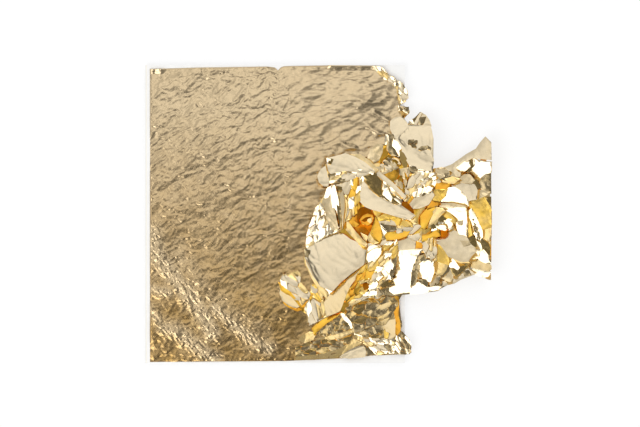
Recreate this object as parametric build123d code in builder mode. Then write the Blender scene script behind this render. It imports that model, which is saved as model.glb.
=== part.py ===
"""Booklet of gold leaf, open at its first leaf, with a second leaf crumpled on top of it.

The booklet lies flat. Its front cover is folded back under it, so the uppermost tissue page and
the leaf on that page face up. +Z is up, +X runs from the spine to the fore edge, and the origin
is the centre of the face that the booklet rests on.
"""

import os
from math import sqrt

from build123d import *

# Leaf and page, millimetres
leaf_width = 120.0
leaf_height = 140.0
leaf_thickness = 0.05
tissue_thickness = 0.05
tissue_overhang = 0.5
leaf_setback = 1.5
tissue_count = 24

# Cover and spine
cover_thickness = 0.25
cover_gap = 0.35
cover_fold_gap = 0.10
glue_thickness = 0.30
cover_crease = 0.30
crease_height = 0.30

# Torn and turned-over edges of the open leaf
corner_inset = 12.8
corner_drop = 12.5
scallop_reach = 2.0
notch_width = 1.6
notch_depth = 1.6
notch_place = 61.0
foot_reach = 3.6

# Crumpled leaf
foil_thickness = 0.20
foil_clearance = 0.30
crumple_overlap = 58.5
crumple_length = 99.3
crumple_breadth = 103.3
crumple_height = 12.5
crumple_low = 14.7

# Turned-over corner of the open leaf
flap_length = 30.5
flap_breadth = 19.5
flap_height = 2.6
flap_low = 9.5

# The crumpled leaf is a mound, half an ellipsoid over the middle of its plan, with folds on it.
# Shares of its length, breadth and height.
mound_middle_shares = (0.547, 0.50)
mound_reach_shares = (0.562, 0.476)
hem_share = 0.10
mound_share = 0.64
fold_share = 0.10

# It runs through these sections. Each is its place along the length, then nine points from the
# upper edge to the lower one: share of the breadth, and how many folds above the mound.
crumple_section_shares = [
    (0.000, [(0.23, -1.0), (0.225, -0.8), (0.22, -0.6), (0.21, -0.5), (0.20, -0.4),
             (0.19, -0.5), (0.18, -0.6), (0.175, -0.8), (0.17, -1.0)]),
    (0.046, [(0.265, -1.0), (0.245, -0.4), (0.225, -0.2), (0.205, -0.5), (0.185, -0.2),
             (0.165, -0.5), (0.145, -0.6), (0.125, -0.8), (0.10, -1.0)]),
    (0.098, [(0.25, -1.0), (0.23, -0.4), (0.205, -0.2), (0.18, -0.5), (0.155, -0.3),
             (0.125, -0.6), (0.10, -0.6), (0.06, -0.8), (0.01, -1.0)]),
    (0.123, [(0.38, -3.0), (0.365, 0.4), (0.34, 0.4), (0.31, -1.0), (0.25, -2.0),
             (0.19, -0.8), (0.13, -0.5), (0.07, -0.7), (0.00, -1.0)]),
    (0.156, [(0.525, -3.0), (0.47, -0.5), (0.40, 0.3), (0.385, 0.9), (0.32, 0.6),
             (0.265, 0.2), (0.205, -0.8), (0.10, -0.6), (0.02, -1.0)]),
    (0.200, [(0.74, -3.0), (0.70, -0.6), (0.665, -2.0), (0.55, 0.2), (0.435, 0.0),
             (0.425, 0.8), (0.31, 0.7), (0.21, 0.4), (0.05, -1.0)]),
    (0.236, [(0.78, -2.5), (0.745, 0.6), (0.675, -0.2), (0.60, 0.3), (0.445, 0.3),
             (0.435, 0.8), (0.30, 0.7), (0.18, -0.4), (0.075, -1.0)]),
    (0.272, [(0.795, -2.5), (0.75, 0.6), (0.70, 0.1), (0.655, 1.1), (0.56, 1.2),
             (0.46, 1.0), (0.45, 0.7), (0.22, 0.2), (0.09, -1.0)]),
    (0.302, [(0.80, -2.5), (0.75, 0.6), (0.70, 0.0), (0.62, 0.5), (0.50, 0.4),
             (0.455, -1.5), (0.44, 0.7), (0.24, -0.1), (0.105, -1.0)]),
    (0.345, [(0.79, -2.5), (0.745, 0.5), (0.71, 0.2), (0.60, -0.2), (0.51, -1.6),
             (0.46, -2.0), (0.42, 0.6), (0.27, -0.2), (0.13, -1.2)]),
    (0.389, [(0.78, -2.2), (0.74, 0.5), (0.69, 0.8), (0.575, 0.9), (0.55, -1.6),
             (0.47, -2.2), (0.40, 0.7), (0.32, 0.5), (0.15, -1.2)]),
    (0.433, [(0.80, -1.8), (0.73, 1.0), (0.70, 0.6), (0.64, 0.9), (0.555, 1.0),
             (0.50, -1.6), (0.44, 0.8), (0.34, 1.1), (0.155, -1.2)]),
    (0.477, [(0.845, -1.0), (0.76, -0.6), (0.71, 1.1), (0.60, 1.0), (0.54, 0.9),
             (0.46, 0.5), (0.38, 0.8), (0.28, 0.5), (0.17, -1.0)]),
    (0.520, [(0.905, -0.6), (0.81, 0.2), (0.70, -1.0), (0.645, 1.1), (0.58, 1.0),
             (0.535, 0.8), (0.44, 0.3), (0.33, 0.5), (0.17, -1.8)]),
    (0.557, [(0.97, 0.5), (0.85, 0.8), (0.77, 0.1), (0.68, -1.0), (0.62, 1.1),
             (0.57, 1.0), (0.46, 0.3), (0.375, 1.8), (0.17, -1.2)]),
    (0.600, [(0.96, 0.8), (0.76, 0.8), (0.70, -0.6), (0.60, 0.5), (0.585, -0.4),
             (0.545, 1.0), (0.46, 0.2), (0.375, 2.2), (0.175, -0.6)]),
    (0.637, [(0.97, 0.6), (0.745, 0.8), (0.71, 0.5), (0.61, 0.8), (0.56, 0.8),
             (0.535, -1.5), (0.44, 0.0), (0.375, 2.8), (0.175, 0.0)]),
    (0.673, [(1.00, 0.6), (0.735, 0.9), (0.715, 0.6), (0.62, 0.8), (0.565, 0.8),
             (0.53, -0.8), (0.42, 0.3), (0.35, 0.8), (0.18, -0.4)]),
    (0.710, [(0.945, 0.8), (0.73, 0.9), (0.71, 0.5), (0.635, 0.6), (0.56, 0.9),
             (0.50, -0.5), (0.435, 0.5), (0.335, 0.6), (0.185, -0.6)]),
    (0.726, [(0.75, -0.8), (0.735, 0.2), (0.70, 0.4), (0.625, 0.9), (0.56, 0.6),
             (0.50, -0.3), (0.435, 0.6), (0.33, 0.5), (0.19, -0.6)]),
    (0.783, [(0.745, 0.3), (0.715, 0.3), (0.685, 0.9), (0.655, 0.9), (0.63, 1.4),
             (0.56, -0.2), (0.455, 0.7), (0.32, 0.7), (0.21, -0.6)]),
    (0.841, [(0.775, 0.4), (0.74, 0.6), (0.70, 1.2), (0.64, 1.2), (0.56, 1.0),
             (0.49, 0.2), (0.445, 0.9), (0.315, 0.8), (0.235, -0.6)]),
    (0.892, [(0.80, 0.4), (0.775, 0.7), (0.725, 0.9), (0.67, 1.1), (0.60, 0.8),
             (0.525, 1.2), (0.40, 1.2), (0.335, 0.6), (0.26, -0.4)]),
    (0.929, [(0.815, 0.4), (0.78, 0.8), (0.70, 0.9), (0.665, 1.0), (0.625, 0.9),
             (0.59, 1.0), (0.40, 0.9), (0.355, 0.1), (0.26, -0.4)]),
    (0.965, [(0.88, 0.7), (0.78, 0.6), (0.70, 0.8), (0.65, 0.6), (0.615, 0.8),
             (0.53, 1.0), (0.435, 0.6), (0.365, 0.3), (0.25, -0.4)]),
    (1.000, [(0.855, 0.5), (0.775, 0.5), (0.72, 0.8), (0.65, 0.5), (0.60, 0.6),
             (0.52, 0.8), (0.42, 0.5), (0.36, 0.2), (0.24, -0.4)]),
]

# The turned-over corner, in the same way, with four points across each section
flap_section_shares = [
    (0.00, [(0.66, 0.10), (0.60, 0.30), (0.54, 0.30), (0.48, 0.10)]),
    (0.28, [(0.90, 0.20), (0.70, 0.80), (0.40, 0.60), (0.16, 0.10)]),
    (0.60, [(0.92, 0.25), (0.70, 0.70), (0.35, 1.00), (0.04, 0.15)]),
    (0.88, [(1.00, 0.30), (0.75, 0.90), (0.40, 0.70), (0.08, 0.20)]),
    (1.00, [(0.98, 0.10), (0.72, 0.40), (0.42, 0.30), (0.10, 0.10)]),
]

# Sizes that follow
page_width = leaf_setback + leaf_width + tissue_overhang
page_height = leaf_height + 2 * tissue_overhang
front_cover_width = page_width + cover_crease + glue_thickness
fore_edge = front_cover_width / 2
spine_edge = fore_edge - page_width
leaf_left = spine_edge + leaf_setback
leaf_right = leaf_left + leaf_width
leaf_top = leaf_height / 2

back_cover_level = cover_thickness + cover_gap
block_level = back_cover_level + cover_thickness
sheet_pitch = tissue_thickness + leaf_thickness
top_page_level = block_level + (tissue_count - 1) * sheet_pitch
open_leaf_level = top_page_level + tissue_thickness
crumple_level = open_leaf_level + leaf_thickness + foil_clearance + foil_thickness

glue_left = spine_edge - glue_thickness
fold_inner = glue_left - cover_thickness
fold_outer = fold_inner - cover_fold_gap - cover_thickness

os.makedirs("parts", exist_ok=True)


def save(part, name):
    """Labels one finished piece and writes it as its own STEP file."""
    part.label = name
    export_step(part, f"parts/{name}.step")


def sheet(width, height, thickness, left, level):
    """A flat sheet whose spine side is at left and whose underside is at level."""
    with BuildPart() as flat:
        with BuildSketch(Plane.XY.offset(level)):
            with Locations((left + width / 2, 0)):
                Rectangle(width, height)
        extrude(amount=thickness)
    return flat.part


def folded_foil(sections, thickness):
    """A thin folded sheet: flat facets between neighbouring zigzag sections, closed round its rim.

    sections is a list of rows of points, with as many points in each row.
    """
    drop = Vector(0, 0, -thickness)
    rows, columns = len(sections), len(sections[0])
    facets = []
    for row in range(rows - 1):
        for column in range(columns - 1):
            near_a, near_b = sections[row][column], sections[row][column + 1]
            far_a, far_b = sections[row + 1][column], sections[row + 1][column + 1]
            facets += [(near_a, near_b, far_b), (near_a, far_b, far_a)]
    rim = [sections[0][column] for column in range(columns)]
    rim += [sections[row][-1] for row in range(1, rows)]
    rim += [sections[-1][column] for column in range(columns - 2, -1, -1)]
    rim += [sections[row][0] for row in range(rows - 2, 0, -1)]
    faces = []
    for facet in facets:
        faces.append(Face(Wire.make_polygon(facet)))
        faces.append(Face(Wire.make_polygon([point + drop for point in facet])))
    for start, end in zip(rim, rim[1:] + rim[:1]):
        faces.append(Face(Wire.make_polygon([start, end, end + drop, start + drop])))
    return Solid(Shell(faces))


def sections_from_shares(table, start, low, length, breadth, height, level):
    """Points of each section, from its shares of the length, breadth and height."""
    return [
        [
            Vector(start + along * length, low + across * breadth, level + up * height)
            for across, up in zigzag
        ]
        for along, zigzag in table
    ]


def mound_with_folds(table):
    """The same table with each fold set on the mound, as a share of the height.

    The mound's share is the root of one less the squared ways from its middle, each over its reach.
    """
    middle_along, middle_across = mound_middle_shares
    reach_along, reach_across = mound_reach_shares
    sections = []
    for along, zigzag in table:
        raised = []
        way_along = (along - middle_along) / reach_along
        for across, folds in zigzag:
            way_across = (across - middle_across) / reach_across
            mound = sqrt(max(0, 1 - way_along**2 - way_across**2))
            raised.append((across, hem_share + mound_share * mound + fold_share * folds))
        sections.append((along, raised))
    return sections


# Front cover, folded back under the booklet
front_cover = sheet(front_cover_width, page_height, cover_thickness, -front_cover_width / 2, 0)
save(front_cover, "front_cover")

# Back cover: one sheet that turns up at the spine, over its top and down again to the front cover
with BuildPart() as back_cover:
    with BuildSketch(Plane.XZ.offset(-page_height / 2)):
        with BuildLine():
            Polyline(
                (fore_edge, back_cover_level),
                (fore_edge, block_level),
                (glue_left, block_level),
                (glue_left, top_page_level),
                (fold_outer, top_page_level),
                (fold_outer, cover_thickness + crease_height),
                (fold_outer + cover_thickness, cover_thickness + crease_height),
                (fold_outer + cover_thickness, top_page_level - cover_thickness),
                (fold_inner, top_page_level - cover_thickness),
                (fold_inner, back_cover_level),
                close=True,
            )
        make_face()
    extrude(amount=page_height)
save(back_cover.part, "back_cover")

# Spine glue, which grips every tissue below the uppermost
spine_glue = sheet(glue_thickness, page_height, top_page_level - block_level, glue_left, block_level)
save(spine_glue, "spine_glue")

# Tissue pages, 01 at the top, with a loose leaf between each two
for number in range(1, tissue_count + 1):
    level = top_page_level - (number - 1) * sheet_pitch
    save(sheet(page_width, page_height, tissue_thickness, spine_edge, level), f"tissue_{number:02d}")
    if number > 1:
        resting = level + tissue_thickness
        save(sheet(leaf_width, leaf_height, leaf_thickness, leaf_left, resting), f"leaf_{number + 1:02d}")

# Open leaf, flat on the uppermost tissue, with a torn notch, a worn corner and a ragged foot
with BuildPart() as open_leaf:
    with BuildSketch(Plane.XY.offset(open_leaf_level)):
        with BuildLine():
            head = Polyline(
                (leaf_right - corner_inset, leaf_top),
                (leaf_left + notch_place + notch_width, leaf_top),
                (leaf_left + notch_place + notch_width / 2, leaf_top - notch_depth),
                (leaf_left + notch_place, leaf_top),
                (leaf_left, leaf_top),
                (leaf_left, -leaf_top),
                (leaf_right + foot_reach, -leaf_top + foot_reach),
                (leaf_right - foot_reach / 2, -leaf_top + flap_low + foot_reach),
                (leaf_right, leaf_top - 2 * corner_drop),
            )
            scallop = ThreePointArc(
                head @ 1,
                (leaf_right + scallop_reach, leaf_top - 1.5 * corner_drop),
                (leaf_right, leaf_top - corner_drop),
            )
            ThreePointArc(
                scallop @ 1,
                (leaf_right - corner_inset / 3, leaf_top - corner_drop / 3),
                head @ 0,
            )
        make_face()
    extrude(amount=leaf_thickness)
save(open_leaf.part, "open_leaf")

# Turned-over corner of the open leaf, standing a little above it
with BuildPart() as turned_corner:
    add(
        folded_foil(
            sections_from_shares(
                flap_section_shares,
                leaf_right - flap_length,
                -leaf_top + flap_low,
                flap_length,
                flap_breadth,
                flap_height,
                open_leaf_level + leaf_thickness + foil_clearance,
            ),
            foil_thickness,
        )
    )
save(turned_corner.part, "turned_corner")

# Crumpled leaf, resting loosely on the open leaf and reaching past the fore edge
with BuildPart() as crumpled_leaf:
    add(
        folded_foil(
            sections_from_shares(
                mound_with_folds(crumple_section_shares),
                leaf_right - crumple_overlap,
                -leaf_top + crumple_low,
                crumple_length,
                crumple_breadth,
                crumple_height,
                crumple_level,
            ),
            foil_thickness,
        )
    )
save(crumpled_leaf.part, "crumpled_leaf")
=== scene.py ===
"""Dresses a booklet of gold leaf that lies open at a wrinkled leaf, with a crumpled leaf on top.

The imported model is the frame: every piece made here sits in the space of the solid that it
replaces. All places are in metres, +Z up, with the spine of the booklet at the low end of X.
"""

import logging
import math
from dataclasses import dataclass, field
from enum import Enum

import bpy
import numpy as np
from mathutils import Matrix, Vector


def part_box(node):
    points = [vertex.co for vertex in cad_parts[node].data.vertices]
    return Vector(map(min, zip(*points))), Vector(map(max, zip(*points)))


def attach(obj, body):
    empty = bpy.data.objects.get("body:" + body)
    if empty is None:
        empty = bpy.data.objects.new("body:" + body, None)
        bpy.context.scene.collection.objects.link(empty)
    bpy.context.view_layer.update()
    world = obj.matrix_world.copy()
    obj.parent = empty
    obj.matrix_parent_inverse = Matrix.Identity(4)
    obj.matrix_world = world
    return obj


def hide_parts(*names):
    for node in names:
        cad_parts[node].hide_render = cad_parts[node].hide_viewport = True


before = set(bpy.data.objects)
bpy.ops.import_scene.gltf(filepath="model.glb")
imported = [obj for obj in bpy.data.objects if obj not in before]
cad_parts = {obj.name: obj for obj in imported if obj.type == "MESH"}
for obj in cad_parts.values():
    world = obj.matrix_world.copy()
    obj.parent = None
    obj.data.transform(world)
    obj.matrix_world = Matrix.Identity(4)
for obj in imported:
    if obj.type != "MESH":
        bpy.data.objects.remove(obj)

logging.basicConfig(level=logging.INFO, format="%(name)s: %(message)s")
log = logging.getLogger("booklet")

MM = 0.001

Array = np.ndarray
Colour = tuple[float, float, float, float]
Points = tuple[tuple[float, float], ...]
Socket = bpy.types.NodeSocket


# Places traced from the photograph


@dataclass(frozen=True)
class PhotoScale:
    """Turns places in the 640 by 427 photograph into places on the table, in metres."""

    pixel: float = 0.473 * MM
    leaf_left_px: float = 150.0
    leaf_middle_px: float = 214.0
    centre_px: tuple[float, float] = (320.0, 213.5)
    width_px: float = 640.0
    leaf_left: float = -59.2 * MM

    def place(self, points_px: Array) -> Array:
        """Places on the table of points in the photograph.

        Args:
            points_px: array of shape (n, 2), columns right and down.

        Returns:
            Array of shape (n, 2), columns X and Y in metres.
        """
        x = self.leaf_left + (points_px[:, 0] - self.leaf_left_px) * self.pixel
        y = (self.leaf_middle_px - points_px[:, 1]) * self.pixel
        return np.stack([x, y], axis=1)


PHOTO = PhotoScale()


@dataclass(frozen=True)
class Tracing:
    """An enlarged view of part of the photograph, over which outlines were drawn."""

    corner_px: tuple[float, float]
    enlargement: float

    def place(self, points: tuple[float, ...]) -> Array:
        """Places on the table of points in the enlarged view.

        Args:
            points: right and down by turns in the enlarged view.

        Returns:
            Array of shape (n, 2), columns X and Y in metres.
        """
        enlarged = np.reshape(points, (-1, 2))
        return PHOTO.place(np.array(self.corner_px) + enlarged / self.enlargement)


CRUMPLE_VIEW = Tracing(corner_px=(276.0, 100.0), enlargement=6.532)
LEAF_VIEW = Tracing(corner_px=(148.0, 60.0), enlargement=5.125)
CORNER_VIEW = Tracing(corner_px=(300.0, 280.0), enlargement=13.635)
WHOLE_VIEW = Tracing(corner_px=(0.0, 0.0), enlargement=1.0)


# Noise

OCTAVE_SHIFT = 17.3


class GradientNoise:
    """Smooth noise over the table, worked out for whole arrays of places at once."""

    def __init__(self, seed: int, size: int = 256) -> None:
        """Draws the lattice's random directions.

        Args:
            seed: number that fixes the draw.
            size: lattice cells before the pattern repeats.
        """
        rng = np.random.default_rng(seed)
        angles = rng.uniform(0.0, 2.0 * math.pi, (size, size))
        self.size = size
        self.directions = np.stack([np.cos(angles), np.sin(angles)], axis=-1)

    def value(self, x: Array, y: Array) -> Array:
        """Noise between about -0.7 and 0.7: the slopes of the lattice corners, blended smoothly.

        Args:
            x: first coordinate, in lattice cells.
            y: second coordinate, in lattice cells.

        Returns:
            Array of the same shape.
        """
        x0, y0 = np.floor(x).astype(int), np.floor(y).astype(int)
        fx, fy = x - x0, y - y0
        sx = fx * fx * fx * (fx * (fx * 6.0 - 15.0) + 10.0)
        sy = fy * fy * fy * (fy * (fy * 6.0 - 15.0) + 10.0)

        def corner(step_x: int, step_y: int) -> Array:
            """Slope of one lattice corner times the way from it."""
            d = self.directions[(x0 + step_x) % self.size, (y0 + step_y) % self.size]
            return d[..., 0] * (fx - step_x) + d[..., 1] * (fy - step_y)

        low = corner(0, 0) * (1.0 - sx) + corner(1, 0) * sx
        high = corner(0, 1) * (1.0 - sx) + corner(1, 1) * sx
        return low * (1.0 - sy) + high * sy

    def ridged(self, x: Array, y: Array, octaves: int) -> Array:
        """Creased noise from 0 in the flats to 1 on the ridges: one less the noise's size.

        Args:
            x: first coordinate, in lattice cells.
            y: second coordinate, in lattice cells.
            octaves: how many times the pattern is repeated at half the size.

        Returns:
            Array of the same shape.
        """
        total, weight, span = np.zeros_like(x), 1.0, 0.0
        for octave in range(octaves):
            step, shift = 2.0**octave, OCTAVE_SHIFT * octave
            size = np.abs(self.value(x * step + shift, y * step - shift))
            total += weight * (1.0 - 2.0 * size)
            span += weight
            weight *= 0.5
        return total / span

    def creases(self, x: Array, y: Array, octaves: int,
                patterns: tuple[tuple[float, float, float], ...]) -> Array:
        """Creases up less creases down.

        Args:
            x: first coordinate, in lattice cells.
            y: second coordinate, in lattice cells.
            octaves: as for ridged.
            patterns: scale and two shifts, for the creases up and for those down.

        Returns:
            Array of the same shape.
        """
        up, down = (self.ridged(scale * x + right, scale * y + ahead, octaves)
                    for scale, right, ahead in patterns)
        return up - down


def turned(x: Array, y: Array, angle: float) -> tuple[Array, Array]:
    """Places along and across a direction that makes an angle with X."""
    across = y * math.cos(angle) - x * math.sin(angle)
    return x * math.cos(angle) + y * math.sin(angle), across


# Meshes


@dataclass
class MeshParts:
    """Vertices, faces and per-vertex marks of one piece, gathered before the mesh is made."""

    vertices: list[Array] = field(default_factory=list)
    faces: list[tuple[int, ...]] = field(default_factory=list)
    # painted light and shade of each vertex, which deepens the foil's gold
    painted_light_and_shade: list[Array] = field(default_factory=list)
    crush: list[Array] = field(default_factory=list)
    slots: list[int] = field(default_factory=list)
    count: int = 0

    def add(self, vertices: Array, faces: list, painted_light_and_shade: Array, crush: Array,
            slot: int = 0) -> None:
        """Adds one shell.

        Args:
            vertices: array of shape (n, 3).
            faces: tuples of indices into these vertices.
            painted_light_and_shade: painted light and shade at each vertex, 0 to 1, which deepen
                the gold's colour.
            crush: how finely crushed the foil is at each vertex, 0 to 1.
            slot: which of the piece's materials the shell wears.
        """
        self.faces += [tuple(int(i) + self.count for i in face) for face in faces]
        self.slots += [slot] * len(faces)
        self.vertices.append(vertices)
        self.painted_light_and_shade.append(painted_light_and_shade)
        self.crush.append(crush)
        self.count += len(vertices)


def make_object(name: str, parts: MeshParts, crease_deg: float) -> bpy.types.Object:
    """Makes a smooth-shaded object whose folds sharper than an angle stay crisp.

    Args:
        name: name of the piece.
        parts: what it is made of.
        crease_deg: angle between faces above which an edge is sharp.

    Returns:
        The new object, linked to the scene.
    """
    mesh = bpy.data.meshes.new(name)
    mesh.from_pydata(np.concatenate(parts.vertices).tolist(), [], parts.faces)
    # The first mark is painted light and shade, which the foil material turns into deeper gold.
    for key, rows in (("painted_light_and_shade", parts.painted_light_and_shade), ("crush", parts.crush)):
        layer = mesh.attributes.new(key, "FLOAT", "POINT")
        layer.data.foreach_set("value", np.concatenate(rows).astype(np.float32))
    mesh.polygons.foreach_set("material_index", np.array(parts.slots, dtype=np.int32))
    mesh.validate()
    mesh.shade_smooth()
    mesh.set_sharp_from_angle(angle=math.radians(crease_deg))
    obj = bpy.data.objects.new(name, mesh)
    bpy.context.scene.collection.objects.link(obj)
    log.info("%s has %d faces", name, len(mesh.polygons))
    return obj


def grid_faces(rows: int, columns: int) -> list[list[int]]:
    """Quads of a grid whose vertices run column by column along each row.

    Args:
        rows: vertices one way.
        columns: vertices the other way.

    Returns:
        Lists of four indices each.
    """
    index = np.arange(rows * columns).reshape(rows, columns)
    corners = (index[:-1, :-1], index[1:, :-1], index[1:, 1:], index[:-1, 1:])
    return np.stack([c.ravel() for c in corners], axis=1).tolist()


def wall_faces(upper: Array, lower: Array) -> list[list[int]]:
    """Quads between a ring of vertices and the ring below it."""
    ahead = np.roll(lower, -1), np.roll(upper, -1)
    return np.stack([upper, lower, *ahead], axis=1).tolist()


def rim_of_grid(rows: int, columns: int) -> Array:
    """Indices of a grid's outer vertices, once round, in the turning sense of its quads."""
    index = np.arange(rows * columns).reshape(rows, columns)
    return np.concatenate([index[:-1, 0], index[-1, :-1], index[:0:-1, -1], index[0, :0:-1]])


def bottom_faces(ring: Array, rows: int, columns: int) -> list[list[int]]:
    """Closes a ring under a grid by rungs from side to side, with one face at each end.

    Args:
        ring: indices of its vertices, in the order of the grid's rim.
        rows: the grid's vertices along its two sides.
        columns: the grid's vertices along its two ends.

    Returns:
        Lists of indices, turned so that the faces look down.
    """
    turn = rows + columns - 2
    side, other = ring[:rows], ring[turn : turn + rows][::-1]
    rungs = np.stack([side[1:], side[:-1], other[:-1], other[1:]], axis=1)
    start = np.append(ring[turn + rows - 1 :], ring[0])
    return [*rungs.tolist(), ring[rows - 1 : turn + 1][::-1].tolist(), start[::-1].tolist()]


def winding(outline: Array) -> float:
    """Which way an outline goes round: the sign of the area inside it.

    Args:
        outline: array of shape (n, 2).

    Returns:
        1 to the left, -1 to the right.
    """
    ahead = np.roll(outline, -1, axis=0)
    area = np.sum(outline[:, 0] * ahead[:, 1] - ahead[:, 0] * outline[:, 1])
    return 1.0 if area > 0.0 else -1.0


def resample(chain: Array, shares: Array) -> Array:
    """Points at given shares of the length of a broken line.

    Args:
        chain: array of shape (n, 2).
        shares: places along it, from 0 to 1.

    Returns:
        Array of shape (len(shares), 2).
    """
    steps = np.linalg.norm(np.diff(chain, axis=0), axis=1)
    along = np.concatenate([[0.0], np.cumsum(steps)])
    wanted = shares * along[-1]
    return np.stack([np.interp(wanted, along, chain[:, k]) for k in (0, 1)], axis=1)


# Foil

FOLD_SEEDS = 1000
HEAP_SEEDS = 77
SHARD_NUMBERS = 200
FEWEST_CELLS = 4
TINY = 1e-9


def sphere_place(azimuth_deg: float, polar_deg: float, radius: float = 1.0) -> tuple[float, ...]:
    """Place on a sphere round the origin.

    Args:
        azimuth_deg: its angle from X, seen from above.
        polar_deg: its angle from straight up.
        radius: the sphere's.

    Returns:
        X, Y and Z.
    """
    azimuth, polar = math.radians(azimuth_deg), math.radians(polar_deg)
    flat = math.sin(polar) * radius
    return flat * math.cos(azimuth), flat * math.sin(azimuth), math.cos(polar) * radius


@dataclass(frozen=True)
class Look:
    """Which part of the studio a fold of foil mirrors to the camera, and how far painted bounce
    light and shade deepen its gold.
    """

    azimuth_deg: float
    polar_deg: float
    # painted bounce light and shade: light bounced between folds, painted in as deeper gold
    painted_light_and_shade: float
    crush: float
    scatter_deg: float = 2.0
    bend_deg: float = 5.0
    ripple: float = 0.0
    vein: float = 0.17


class Tone(Enum):
    """The kinds of fold that the crumpled foil shows."""

    # The third number of each look is painted bounce light and shade: the yellow, orange and amber
    # golds stand in for light bounced between the folds.
    CREAM = Look(93.0, 25.5, 0.0, 0.03, scatter_deg=0.6, bend_deg=2.8, vein=0.24)
    IVORY = Look(93.0, 22.0, 0.0, 0.03, scatter_deg=0.6, bend_deg=3.4, vein=0.24)
    BUTTER = Look(93.0, 20.0, 0.13, 0.03, scatter_deg=0.8, bend_deg=2.5)
    BEIGE = Look(110.0, 27.5, 0.03, 0.05, scatter_deg=0.6, bend_deg=1.6)
    PALE = Look(128.0, 20.0, 0.18, 0.06, scatter_deg=1.0)
    TAN = Look(150.0, 30.0, 0.10, 0.12, ripple=0.04)
    WHITE = Look(236.0, 38.0, 0.0, 0.06, scatter_deg=1.0, bend_deg=4.0, vein=0.3)
    SILVER = Look(228.0, 28.0, 0.0, 0.2, ripple=0.05, vein=0.3)
    LEMON = Look(182.0, 27.0, 0.24, 0.06, scatter_deg=1.5)
    GOLD = Look(150.0, 19.0, 0.42, 0.15)
    HONEY = Look(335.0, 18.0, 0.33, 0.2)
    YELLOW = Look(93.0, 13.0, 0.60, 0.1)
    ORANGE = Look(120.0, 14.0, 0.74, 0.15)
    AMBER = Look(160.0, 12.0, 1.0, 0.2)
    EMBER = Look(345.0, 20.0, 1.0, 0.15, bend_deg=4.0)
    UMBER = Look(345.0, 20.0, 0.62, 0.25)
    OLIVE = Look(47.0, 23.0, 0.24, 0.25, ripple=0.03)
    BROWN = Look(45.0, 26.5, 0.16, 0.25, scatter_deg=0.8, bend_deg=2.5, ripple=0.03, vein=0.06)
    DARK = Look(45.0, 33.0, 0.3, 0.25, scatter_deg=1.0, bend_deg=3.0, ripple=0.04, vein=0.1)


class Mix(Enum):
    """Tones of the small folds of one heap, with the share of each."""

    SILVER = ((Tone.WHITE, 0.25), (Tone.SILVER, 0.25), (Tone.CREAM, 0.2), (Tone.LEMON, 0.15),
        (Tone.BROWN, 0.15))
    GOLD = ((Tone.LEMON, 0.38), (Tone.GOLD, 0.18), (Tone.YELLOW, 0.12), (Tone.CREAM, 0.14),
        (Tone.WHITE, 0.08), (Tone.OLIVE, 0.1))
    FIRE = ((Tone.YELLOW, 0.32), (Tone.ORANGE, 0.28), (Tone.LEMON, 0.15), (Tone.GOLD, 0.15),
        (Tone.UMBER, 0.1))
    PALE = ((Tone.LEMON, 0.34), (Tone.CREAM, 0.38), (Tone.WHITE, 0.18), (Tone.OLIVE, 0.1))
    CRACKLE = ((Tone.TAN, 0.4), (Tone.CREAM, 0.14), (Tone.UMBER, 0.24), (Tone.BROWN, 0.22))
    SPECKLE = ((Tone.BROWN, 0.45), (Tone.SILVER, 0.3), (Tone.WHITE, 0.25))
    SHEEN = ((Tone.WHITE, 0.5), (Tone.SILVER, 0.34), (Tone.PALE, 0.16))
    BARK = ((Tone.BROWN, 0.56), (Tone.OLIVE, 0.2), (Tone.DARK, 0.16), (Tone.PALE, 0.08))


def pleat(place: Array) -> Array:
    """A triangle wave between -1 and 1 with a period of 1, so that straight slopes meet."""
    return 4.0 * np.abs(place - np.floor(place + 0.5)) - 1.0


def kept_side(outline: Array, point: Array, way: Array) -> Array:
    """Cuts an outline along a line: corners beyond it go, and edges that cross it end on it.

    Args:
        outline: array of shape (n, 2).
        point: a point of the line.
        way: direction at right angles to the line, towards the side that goes.

    Returns:
        The part that is left, maybe empty.
    """
    beyond = (outline - point) @ way
    following = np.roll(outline, -1, axis=0)
    kept = []
    for corner, ahead, here, there in zip(outline, following, beyond, np.roll(beyond, -1)):
        if here <= 0.0:
            kept.append(corner)
        if (here <= 0.0) != (there <= 0.0):
            kept.append(corner + (ahead - corner) * here / (here - there))
    return np.array(kept).reshape(-1, 2)


@dataclass(frozen=True)
class WarmSpot:
    """A place where light trapped between the folds makes the gold deep."""

    centre: tuple[float, float]
    reach: float
    painted_light_and_shade: float


@dataclass(frozen=True)
class Fold:
    """One fold of foil: its tone, its height in layers and its outline in the enlarged view.

    The outline's corners are right and down by turns. With a mix for its tone it is a heap of
    small folds, about shard across, longer along the grain. A bed follows the mound.
    """

    name: str
    tone: Tone | Mix
    layer: float
    outline: tuple[float, ...]
    crinkle: float = 0.0
    bend: float = 1.0
    bed: bool = False
    shard: float = 32.0
    grain_deg: float = 0.0


@dataclass(frozen=True)
class FoldGrid:
    """A fold's grid seen from above: its places, their shares along and across, and its size."""

    x: Array
    y: Array
    along: Array
    sideways: Array
    length: float
    breadth: float


@dataclass(frozen=True)
class Pleats:
    """One set of pleats: how often it folds across and along a fold, and what bends it."""

    strength: float
    per_step: float
    per_run: float
    drift: float = 0.0
    shake: float = 0.0
    shift: float = 0.0


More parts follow.
